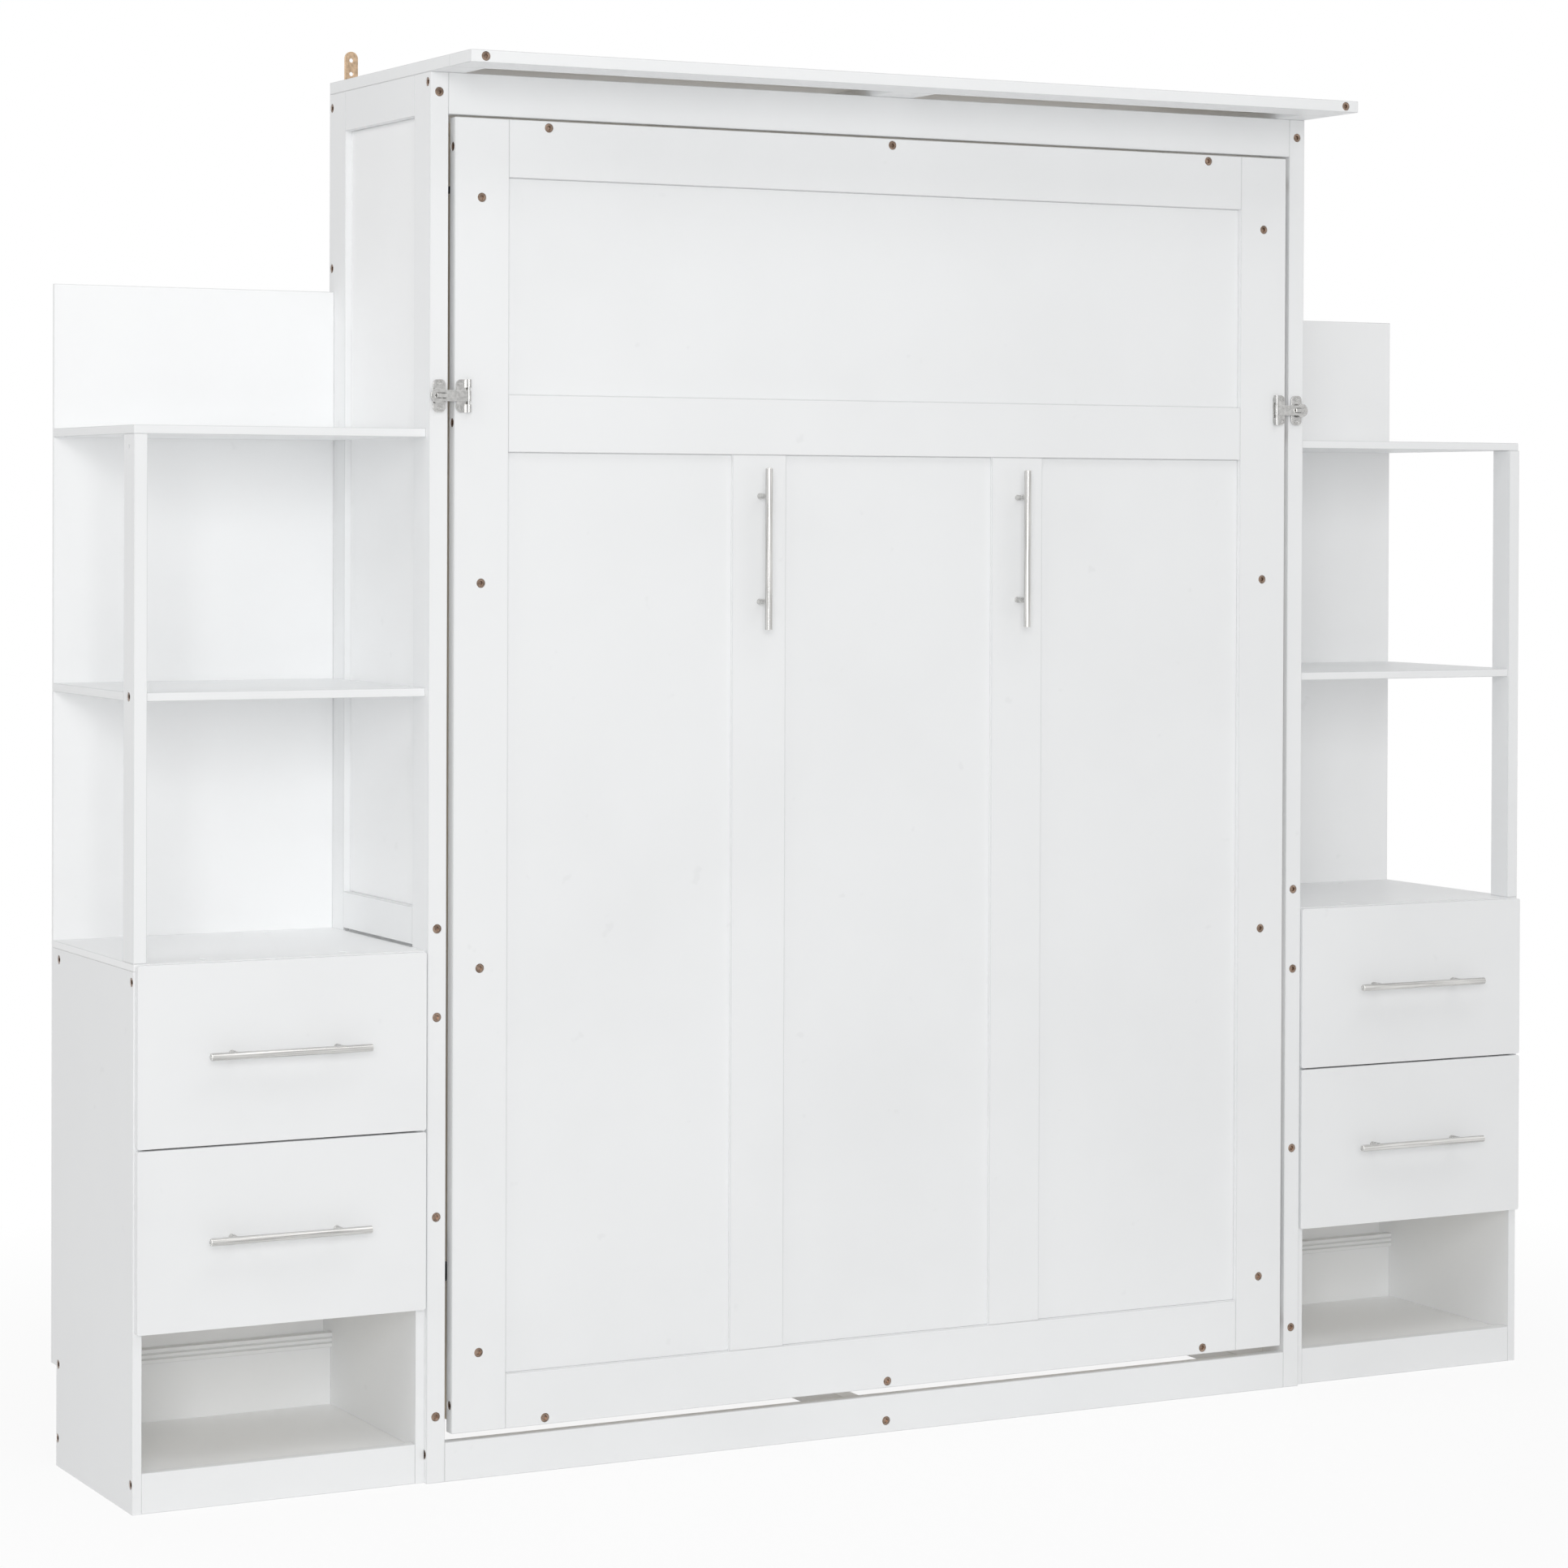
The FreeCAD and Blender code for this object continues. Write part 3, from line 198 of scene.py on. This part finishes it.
class WallBedFinish(PropertyGroup):
    """Sizes and colours of the finish."""

    edge_round: FloatProperty(
        name="Board edge",
        description="Radius of the eased edges of painted boards",
        default=0.0012,
        unit="LENGTH",
    )
    fitting_round: FloatProperty(
        name="Fitting edge",
        description="Radius of the rolled edges of latches and brackets",
        default=0.0005,
        unit="LENGTH",
    )
    bolt_round: FloatProperty(
        name="Bolt edge",
        description="Radius of the rounded rims of bolt heads",
        default=0.0006,
        unit="LENGTH",
    )
    pull_round: FloatProperty(
        name="Pull end",
        description="Radius of the eased ends of the pull bars",
        default=0.0012,
        unit="LENGTH",
    )
    paint: FloatVectorProperty(
        name="Paint",
        description="White paint of the cabinet, bed face and towers",
        default=(0.885, 0.893, 0.898),
        subtype="COLOR",
    )
    # Whiter than the frame paint: the own white of the panels, and on the decks and lower boards
    # also painted light that lifts the shade of the deep compartments.
    panel_white_and_painted_light: FloatVectorProperty(
        name="Panel paint",
        description="Brighter white of the panels and decks inside",
        default=(0.94, 0.945, 0.948),
        subtype="COLOR",
    )
    bare_wood: FloatVectorProperty(
        name="Bare wood",
        description="Unpainted rails and slats",
        default=(0.8, 0.71, 0.58),
        subtype="COLOR",
    )
    box_wood: FloatVectorProperty(
        name="Box wood",
        description="Paler unpainted wood of the drawer boxes and runners",
        default=(0.9, 0.86, 0.79),
        subtype="COLOR",
    )
    steel: FloatVectorProperty(
        name="Pull steel",
        description="Brushed steel of the pulls",
        default=(0.6, 0.595, 0.58),
        subtype="COLOR",
    )
    nickel: FloatVectorProperty(
        name="Latch plate",
        description="Plating of the latches",
        default=(0.5, 0.497, 0.487),
        subtype="COLOR",
    )
    bronze: FloatVectorProperty(
        name="Bolt plate",
        description="Plating of the bolts",
        default=(0.275, 0.2, 0.155),
        subtype="COLOR",
    )
    yellow_zinc: FloatVectorProperty(
        name="Bracket plate",
        description="Plating of the wall brackets",
        default=(0.55, 0.4, 0.27),
        subtype="COLOR",
    )
    powder_coat: FloatVectorProperty(
        name="Powder coat",
        description="Black coat of pivots and legs",
        default=(0.012, 0.012, 0.013),
        subtype="COLOR",
    )


class WallBedStage(PropertyGroup):
    """Camera, floor and light."""

    eye: FloatVectorProperty(
        name="Eye",
        description="Place of the camera",
        default=(-3.4359, -6.33347, 1.56709),
        subtype="TRANSLATION",
        unit="LENGTH",
    )
    heading: FloatProperty(
        name="Heading",
        description="Turn of the camera to the right",
        default=math.radians(27.56),
        unit="ROTATION",
    )
    tilt: FloatProperty(
        name="Tilt",
        description="Upward tilt of the camera",
        default=math.radians(-0.67),
        unit="ROTATION",
    )
    roll: FloatProperty(
        name="Roll", description="Roll of the camera", default=math.radians(0.22), unit="ROTATION"
    )
    focal_pixels: FloatProperty(
        name="Focal length", description="Focal length in pixels of the photograph", default=5139.6
    )
    axis_row: FloatProperty(
        name="Axis row",
        description="Row of the photograph that the optical axis meets",
        default=690.0,
    )
    ambient: FloatProperty(name="Ambient", description="Strength of the even light", default=0.51)
    top_power: FloatProperty(
        name="Top", description="Power of the lamp overhead", default=42.0, unit="POWER"
    )
    front_power: FloatProperty(
        name="Front", description="Power of the lamp behind the camera", default=301.0, unit="POWER"
    )
    side_power: FloatProperty(
        name="Side", description="Power of the lamp at the left", default=48.0, unit="POWER"
    )
    floor_white: FloatProperty(
        name="Floor white",
        description="Share of plain white that the camera sees of the floor",
        default=0.88,
    )
    floor_near: FloatProperty(
        name="Floor near", description="Reach of the shaded floor", default=1.3, unit="LENGTH"
    )
    floor_far: FloatProperty(
        name="Floor far",
        description="Reach at which the floor is plain white",
        default=2.6,
        unit="LENGTH",
    )


def finish_of(context):
    return context.scene.wall_bed_finish


def stage_of(context):
    return context.scene.wall_bed_stage


class Nodes:
    """A material's node tree with short ways to add and join nodes."""

    def __init__(self, name):
        self.material = bpy.data.materials.new(name)
        self.material.use_nodes = True
        self.tree = self.material.node_tree
        self.shader = self.tree.nodes["Principled BSDF"]

    def add(self, kind, **settings):
        made = self.tree.nodes.new(kind)
        for key, value in settings.items():
            setattr(made, key, value)
        return made

    def join(self, source, target):
        self.tree.links.new(source, target)

    def coordinates(self, scale):
        place = self.add("ShaderNodeTexCoord")
        mapping = self.add("ShaderNodeMapping")
        mapping.inputs["Scale"].default_value = scale
        self.join(place.outputs["Object"], mapping.inputs["Vector"])
        return mapping.outputs["Vector"]

    def noise(self, scale, size, detail, rough=0.55):
        made = self.add("ShaderNodeTexNoise")
        made.inputs["Scale"].default_value = size
        made.inputs["Detail"].default_value = detail
        made.inputs["Roughness"].default_value = rough
        self.join(self.coordinates(scale), made.inputs["Vector"])
        return made.outputs["Fac"]

    def ramp(self, source, stops):
        made = self.add("ShaderNodeValToRGB")
        first, last = made.color_ramp.elements
        first.position, first.color = stops[0][0], (*stops[0][1], 1.0)
        last.position, last.color = stops[-1][0], (*stops[-1][1], 1.0)
        for position, colour in stops[1:-1]:
            made.color_ramp.elements.new(position).color = (*colour, 1.0)
        self.join(source, made.inputs["Fac"])
        return made.outputs["Color"]

    def span(self, source, low, high):
        made = self.add("ShaderNodeMapRange")
        made.inputs["From Min"].default_value = NOISE_LOW
        made.inputs["From Max"].default_value = NOISE_HIGH
        made.inputs["To Min"].default_value = low
        made.inputs["To Max"].default_value = high
        self.join(source, made.inputs["Value"])
        return made.outputs["Result"]

    # Mask of the rounded faces, which the paint darkens as painted shade and the plating brightens
    # as polished wear.
    def shade_and_wear_mask(self):
        made = self.add("ShaderNodeAttribute", attribute_name=SHADE_AND_WEAR_MARK)
        return made.outputs["Fac"]

    def blend(self, share, under, over):
        made = self.add("ShaderNodeMixRGB")
        self.join(share, made.inputs["Fac"])
        self.join(under, made.inputs["Color1"])
        made.inputs["Color2"].default_value = (*over, 1.0)
        return made.outputs["Color"]

    def bump(self, source, strength, depth, under=None):
        made = self.add("ShaderNodeBump")
        made.inputs["Strength"].default_value = strength
        made.inputs["Distance"].default_value = depth
        self.join(source, made.inputs["Height"])
        if under is not None:
            self.join(under, made.inputs["Normal"])
        return made.outputs["Normal"]


def shade(colour, factor):
    return tuple(min(channel * factor, BRIGHTEST) for channel in colour)


def painted_wood(name, colour, grain):
    """White paint over wood: faint drawn-out grain, brush mottle, rare scuffs, and rounded edges
    greyed with painted shade.
    """
    nodes = Nodes(name)
    fibre = nodes.noise(GRAIN[grain], size=3.0, detail=5.0, rough=0.6)
    mottle = nodes.noise(PLAIN, size=2.4, detail=3.0)
    orange_peel = nodes.noise(PLAIN, size=420.0, detail=2.0)
    scuffs = nodes.noise(PLAIN, size=26.0, detail=2.0)
    tone = nodes.ramp(
        mottle,
        [(0.3, shade(colour, PAINT_DULL)), (0.55, colour), (0.75, shade(colour, PAINT_CLEAR))],
    )
    scuffed = nodes.ramp(scuffs, [(0.73, (0.0,) * 3), (0.78, (SCUFF_SHARE,) * 3)])
    marked = nodes.blend(scuffed, tone, shade(colour, PAINT_SCUFFED))
    # Rounded edges greyed: painted shade along joints and outlines.
    edge_shade_and_wear = nodes.blend(nodes.shade_and_wear_mask(), marked, shade(colour, PAINT_SHADE_AT_EDGES))
    nodes.join(edge_shade_and_wear, nodes.shader.inputs["Base Color"])
    nodes.join(nodes.span(mottle, low=0.36, high=0.48), nodes.shader.inputs["Roughness"])
    skin = nodes.bump(orange_peel, strength=0.05, depth=0.0003)
    grained = nodes.bump(fibre, strength=0.12, depth=0.0006, under=skin)
    nodes.join(grained, nodes.shader.inputs["Normal"])
    nodes.shader.inputs["Specular IOR Level"].default_value = PAINT_SHINE
    return nodes.material


def bare_wood(name, colour, grain):
    """Sanded pine: growth lines drawn out along the grain, with pale and dark streaks."""
    nodes = Nodes(name)
    streak_scale = tuple(axis * STREAK_FINENESS for axis in GRAIN[grain])
    pore_scale = tuple(axis * PORE_FINENESS for axis in GRAIN[grain])
    streaks = nodes.noise(streak_scale, size=2.2, detail=6.0, rough=0.62)
    pores = nodes.noise(pore_scale, size=4.0, detail=3.0)
    tone = nodes.ramp(
        streaks,
        [(0.3, shade(colour, WOOD_DARK)), (0.5, colour), (0.7, shade(colour, WOOD_PALE))],
    )
    nodes.join(tone, nodes.shader.inputs["Base Color"])
    nodes.join(nodes.span(pores, low=0.6, high=0.78), nodes.shader.inputs["Roughness"])
    nodes.join(nodes.bump(pores, strength=0.25, depth=0.0006), nodes.shader.inputs["Normal"])
    return nodes.material


def plated_metal(name, colour, drawn, rough, mottle):
    """Metal with fine lines along its drawn axis, cloudy plating and polished edges."""
    nodes = Nodes(name)
    lines = nodes.noise(drawn, size=5.0, detail=3.0, rough=0.6)
    cloud = lines if drawn != EVEN else nodes.noise(PLAIN, size=140.0, detail=3.0)
    dark = shade(colour, 1.0 - mottle)
    pale = shade(colour, 1.0 + mottle)
    tone = nodes.ramp(cloud, [(0.34, dark), (0.5, colour), (0.66, pale)])
    edge_shade_and_wear = nodes.blend(nodes.shade_and_wear_mask(), tone, shade(colour, PLATING_AT_EDGES))
    nodes.join(edge_shade_and_wear, nodes.shader.inputs["Base Color"])
    roughness = nodes.span(lines, low=rough - LINES_SMOOTHER, high=rough + LINES_ROUGHER)
    nodes.join(roughness, nodes.shader.inputs["Roughness"])
    nodes.join(nodes.bump(lines, strength=0.12, depth=0.0002), nodes.shader.inputs["Normal"])
    nodes.shader.inputs["Metallic"].default_value = 1.0
    return nodes.material


def powder_coat(name, colour):
    """Black baked coat with a fine pebbled skin."""
    nodes = Nodes(name)
    pebble = nodes.noise(PLAIN, size=900.0, detail=2.0)
    cloud = nodes.noise(PLAIN, size=30.0, detail=3.0)
    tone = nodes.ramp(cloud, [(0.3, shade(colour, COAT_DARK)), (0.7, shade(colour, COAT_PALE))])
    nodes.join(tone, nodes.shader.inputs["Base Color"])
    nodes.join(nodes.span(cloud, low=0.5, high=0.64), nodes.shader.inputs["Roughness"])
    nodes.join(nodes.bump(pebble, strength=0.2, depth=0.0003), nodes.shader.inputs["Normal"])
    return nodes.material


def give(piece, material):
    piece.data.materials.clear()
    piece.data.materials.append(material)


def body_of(node):
    return frame["nodes"][node]["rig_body"]


def stand_for(name, shape, node, material):
    """Makes a mesh object from a bmesh that stands for a CAD node and rides on its body."""
    mesh = bpy.data.meshes.new(name)
    shape.to_mesh(mesh)
    shape.free()
    piece = bpy.data.objects.new(name, mesh)
    bpy.context.scene.collection.objects.link(piece)
    give(piece, material)
    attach(piece, body_of(node))
    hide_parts(node)
    return piece


def copy_of(node):
    """The node's own shape with its triangles joined into whole faces."""
    shape = bmesh.new()
    shape.from_mesh(frame["nodes"][node].data)
    bmesh.ops.remove_doubles(shape, verts=shape.verts, dist=SAME_POINT)
    bmesh.ops.dissolve_limit(
        shape,
        angle_limit=STRAIGHT,
        use_dissolve_boundaries=False,
        verts=shape.verts,
        edges=shape.edges,
    )
    return shape


def ease(shape, edges, radius, segments):
    """Rounds edges and marks the rounded faces, which the paint greys as painted shade and the
    plating brightens as polished wear.
    """
    edge_shade_and_wear = shape.faces.layers.float.get(SHADE_AND_WEAR_MARK) or shape.faces.layers.float.new(SHADE_AND_WEAR_MARK)
    rounded = bmesh.ops.bevel(
        shape,
        geom=edges,
        offset=radius,
        offset_type="OFFSET",
        affect="EDGES",
        segments=segments,
        profile=0.5,
        clamp_overlap=True,
        material=-1,
    )
    for face in rounded["faces"]:
        face[edge_shade_and_wear] = 1.0


def smooth(shape):
    for face in shape.faces:
        face.smooth = True
    for edge in shape.edges:
        edge.smooth = edge.is_manifold and edge.calc_face_angle() < SHARP


def eased_board(node, radius, material):
    """A board with its long edges rounded; rims of bolt holes stay crisp."""
    shape = copy_of(node)
    shared = {vert for edge in shape.edges if not edge.is_manifold for vert in edge.verts}
    long_edges = [
        edge
        for edge in shape.edges
        if shared.isdisjoint(edge.verts)
        and edge.calc_face_angle() > CREASE
        and edge.calc_length() > SHORTEST_BOARD_EDGE
    ]
    ease(shape, long_edges, radius, BOARD_SEGMENTS)
    smooth(shape)
    even_shading(stand_for(f"eased_{node}", shape, node, material))


def eased_metal(node, radius, material):
    """A metal piece with its outer rims rounded."""
    shape = copy_of(node)
    rims = [edge for edge in shape.edges if edge.is_convex and edge.calc_face_angle() > RIM]
    ease(shape, rims, radius, RIM_SEGMENTS)
    smooth(shape)
    even_shading(stand_for(f"eased_{node}", shape, node, material))


def even_shading(piece):
    weighted = piece.modifiers.new("Even shading", "WEIGHTED_NORMAL")
    weighted.keep_sharp = True


class WALLBED_OT_painted_boards(Operator):
    """Rounds the edges of the painted boards and paints them"""

    bl_idname = "wall_bed.painted_boards"
    bl_label = "Painted boards"

    def execute(self, context):
        finish = finish_of(context)
        for name, colour, grain, nodes in (
            ("white_paint_upright", finish.paint, "upright", UPRIGHT),
            ("white_paint_level", finish.paint, "level", LEVEL),
            ("white_paint_deep", finish.paint, "deep", DEEP),
            # The lower boards and decks take the whiter paint partly as painted light, lifting the
            # shade in the deep compartments.
            ("white_paint_panel", finish.panel_white_and_painted_light, "upright", THIN_PANELS),
            ("white_paint_deck", finish.panel_white_and_painted_light, "level", DECKS),
        ):
            material = painted_wood(name, colour, grain)
            for node in nodes:
                eased_board(node, finish.edge_round, material)
        return {"FINISHED"}


class WALLBED_OT_bare_boards(Operator):
    """Gives the hidden frame and the drawer boxes their bare wood"""

    bl_idname = "wall_bed.bare_boards"
    bl_label = "Bare boards"

    def execute(self, context):
        finish = finish_of(context)
        for name, colour, grain, nodes in (
            ("bare_wood_upright", finish.bare_wood, "upright", BARE_UPRIGHT),
            ("bare_wood_level", finish.bare_wood, "level", BARE_LEVEL),
            ("box_wood", finish.box_wood, "deep", BOXES),
        ):
            material = bare_wood(name, colour, grain)
            for node in nodes:
                give(frame["nodes"][node], material)
        return {"FINISHED"}


class WALLBED_OT_black_steel(Operator):
    """Gives pivots, legs and links their black coat"""

    bl_idname = "wall_bed.black_steel"
    bl_label = "Black steel"

    def execute(self, context):
        material = powder_coat("black_coat", finish_of(context).powder_coat)
        for node in BLACK:
            give(frame["nodes"][node], material)
        return {"FINISHED"}


class WALLBED_OT_latches(Operator):
    """Rounds and plates the latches and their screws"""

    bl_idname = "wall_bed.latches"
    bl_label = "Latches"

    def execute(self, context):
        finish = finish_of(context)
        material = plated_metal("latch_plating", finish.nickel, EVEN, rough=0.2, mottle=0.14)
        for node in LATCHES:
            eased_metal(node, finish.fitting_round, material)
        return {"FINISHED"}


class WALLBED_OT_bolts(Operator):
    """Rounds and plates the bolts"""

    bl_idname = "wall_bed.bolts"
    bl_label = "Bolts"

    def execute(self, context):
        finish = finish_of(context)
        material = plated_metal("bolt_plating", finish.bronze, EVEN, rough=0.3, mottle=0.4)
        for node in BOLTS:
            eased_metal(node, finish.bolt_round, material)
        return {"FINISHED"}


class WALLBED_OT_brackets(Operator):
    """Rounds and plates the wall brackets"""

    bl_idname = "wall_bed.brackets"
    bl_label = "Wall brackets"

    def execute(self, context):
        finish = finish_of(context)
        material = plated_metal(
            "bracket_plating", finish.yellow_zinc, EVEN, rough=0.34, mottle=0.25
        )
        eased_metal("wall_brackets", finish.fitting_round, material)
        return {"FINISHED"}


class WALLBED_OT_pulls(Operator):
    """Rounds the ends of the pulls and gives them brushed steel"""

    bl_idname = "wall_bed.pulls"
    bl_label = "Pulls"

    def execute(self, context):
        finish = finish_of(context)
        upright = plated_metal(
            "pull_steel_upright", finish.steel, DRAWN_UPRIGHT, rough=0.28, mottle=0.3
        )
        level = plated_metal("pull_steel_level", finish.steel, DRAWN_LEVEL, rough=0.28, mottle=0.3)
        for node in PULLS:
            eased_metal(node, finish.pull_round, upright if node == "bed_handles" else level)
        return {"FINISHED"}


def lamp(name, power, size, place, aim):
    data = bpy.data.lights.new(name, "AREA")
    data.shape = "RECTANGLE"
    data.size, data.size_y = size
    data.energy = power
    made = bpy.data.objects.new(name, data)
    bpy.context.scene.collection.objects.link(made)
    made.location = place
    made.rotation_euler = (Vector(aim) - Vector(place)).to_track_quat("-Z", "Y").to_euler()


class WALLBED_OT_stage(Operator):
    """Sets the floor, the soft light and the camera"""

    bl_idname = "wall_bed.stage"
    bl_label = "Stage"

    def execute(self, context):
        stage = stage_of(context)
        scene = context.scene
        scene.view_settings.view_transform = "Standard"
        # White boards pass light on many times before it fades.
        scene.cycles.max_bounces = LIGHT_STEPS
        scene.cycles.diffuse_bounces = LIGHT_STEPS
        self.floor(stage)
        self.sky(scene, stage)
        for name, power, size, place, aim in LAMPS:
            lamp(name, getattr(stage, power), size, place, aim)
        self.camera(scene, stage)
        return {"FINISHED"}

    def floor(self, stage):
        shape = bmesh.new()
        bmesh.ops.create_grid(shape, x_segments=1, y_segments=1, size=FLOOR_REACH)
        mesh = bpy.data.meshes.new("Floor")
        shape.to_mesh(mesh)
        shape.free()
        made = bpy.data.objects.new("Floor", mesh)
        bpy.context.scene.collection.objects.link(made)
        nodes = Nodes("floor_white")
        nodes.shader.inputs["Base Color"].default_value = FLOOR_COLOUR
        nodes.shader.inputs["Roughness"].default_value = FLOOR_ROUGH
        nodes.shader.inputs["Specular IOR Level"].default_value = FLOOR_SHINE
        path = nodes.add("ShaderNodeLightPath")
        glow = nodes.add("ShaderNodeEmission")
        seen = nodes.add("ShaderNodeMath", operation="MAXIMUM")
        nodes.join(path.outputs["Is Camera Ray"], seen.inputs[0])
        nodes.join(path.outputs["Is Glossy Ray"], seen.inputs[1])
        reach = nodes.add("ShaderNodeVectorMath", operation="LENGTH")
        nodes.join(nodes.coordinates(PLAIN), reach.inputs[0])
        fade = nodes.add("ShaderNodeMapRange")
        fade.inputs["From Min"].default_value = stage.floor_near
        fade.inputs["From Max"].default_value = stage.floor_far
        fade.inputs["To Min"].default_value = stage.floor_white
        fade.inputs["To Max"].default_value = 1.0
        nodes.join(reach.outputs["Value"], fade.inputs["Value"])
        share = nodes.add("ShaderNodeMath", operation="MULTIPLY")
        nodes.join(seen.outputs["Value"], share.inputs[0])
        nodes.join(fade.outputs["Result"], share.inputs[1])
        mix = nodes.add("ShaderNodeMixShader")
        nodes.join(share.outputs["Value"], mix.inputs["Fac"])
        nodes.join(nodes.shader.outputs["BSDF"], mix.inputs[1])
        nodes.join(glow.outputs["Emission"], mix.inputs[2])
        output = nodes.tree.nodes["Material Output"]
        nodes.join(mix.outputs["Shader"], output.inputs["Surface"])
        give(made, nodes.material)

    def sky(self, scene, stage):
        world = bpy.data.worlds.new("Studio")
        world.use_nodes = True
        scene.world = world
        tree = world.node_tree
        background = tree.nodes["Background"]
        background.inputs["Color"].default_value = SKY_COLOUR
        path = tree.nodes.new("ShaderNodeLightPath")
        seen = tree.nodes.new("ShaderNodeMath")
        seen.operation = "MAXIMUM"
        tree.links.new(path.outputs["Is Camera Ray"], seen.inputs[0])
        tree.links.new(path.outputs["Is Glossy Ray"], seen.inputs[1])
        strength = tree.nodes.new("ShaderNodeMapRange")
        strength.inputs["To Min"].default_value = stage.ambient
        strength.inputs["To Max"].default_value = 1.0
        tree.links.new(seen.outputs["Value"], strength.inputs["Value"])
        tree.links.new(strength.outputs["Result"], background.inputs["Strength"])

    def camera(self, scene, stage):
        data = bpy.data.cameras.new("Camera")
        data.sensor_width = SENSOR_MILLIMETRES
        data.lens = stage.focal_pixels / PHOTO_PIXELS * data.sensor_width
        data.shift_y = (stage.axis_row - PHOTO_PIXELS / 2) / PHOTO_PIXELS
        data.clip_end = VIEW_REACH
        eye = bpy.data.objects.new("Camera", data)
        scene.collection.objects.link(eye)
        forward = Vector(
            (
                math.sin(stage.heading) * math.cos(stage.tilt),
                math.cos(stage.heading) * math.cos(stage.tilt),
                math.sin(stage.tilt),
            )
        )
        right = Vector((math.cos(stage.heading), -math.sin(stage.heading), 0.0))
        up = right.cross(forward)
        turned = right * math.cos(stage.roll) + up * math.sin(stage.roll)
        axes = Matrix((turned, turned.cross(forward), -forward)).transposed()
        eye.matrix_world = Matrix.Translation(stage.eye) @ axes.to_4x4()
        scene.camera = eye


class WALLBED_PT_sidebar(Panel):
    """Lists the steps that finish the wall bed"""

    bl_idname = "WALLBED_PT_sidebar"
    bl_label = "Wall bed"
    bl_space_type = "VIEW_3D"
    bl_region_type = "UI"
    bl_category = "Wall bed"

    def draw(self, context):
        for step in STEPS:
            self.layout.operator(step.bl_idname)
        for group in (finish_of(context), stage_of(context)):
            column = self.layout.column()
            for name in group.__annotations__:
                column.prop(group, name)


STEPS = (
    WALLBED_OT_painted_boards,
    WALLBED_OT_bare_boards,
    WALLBED_OT_black_steel,
    WALLBED_OT_latches,
    WALLBED_OT_bolts,
    WALLBED_OT_brackets,
    WALLBED_OT_pulls,
    WALLBED_OT_stage,
)
CLASSES = (WallBedFinish, WallBedStage, *STEPS, WALLBED_PT_sidebar)


def register():
    for each in CLASSES:
        bpy.utils.register_class(each)
    bpy.types.Scene.wall_bed_finish = PointerProperty(type=WallBedFinish)
    bpy.types.Scene.wall_bed_stage = PointerProperty(type=WallBedStage)


def unregister():
    del bpy.types.Scene.wall_bed_stage
    del bpy.types.Scene.wall_bed_finish
    for each in reversed(CLASSES):
        bpy.utils.unregister_class(each)


def main():
    register()
    bpy.ops.wall_bed.painted_boards()
    bpy.ops.wall_bed.bare_boards()
    bpy.ops.wall_bed.black_steel()
    bpy.ops.wall_bed.latches()
    bpy.ops.wall_bed.bolts()
    bpy.ops.wall_bed.brackets()
    bpy.ops.wall_bed.pulls()
    bpy.ops.wall_bed.stage()


if __name__ == "__main__":
    main()
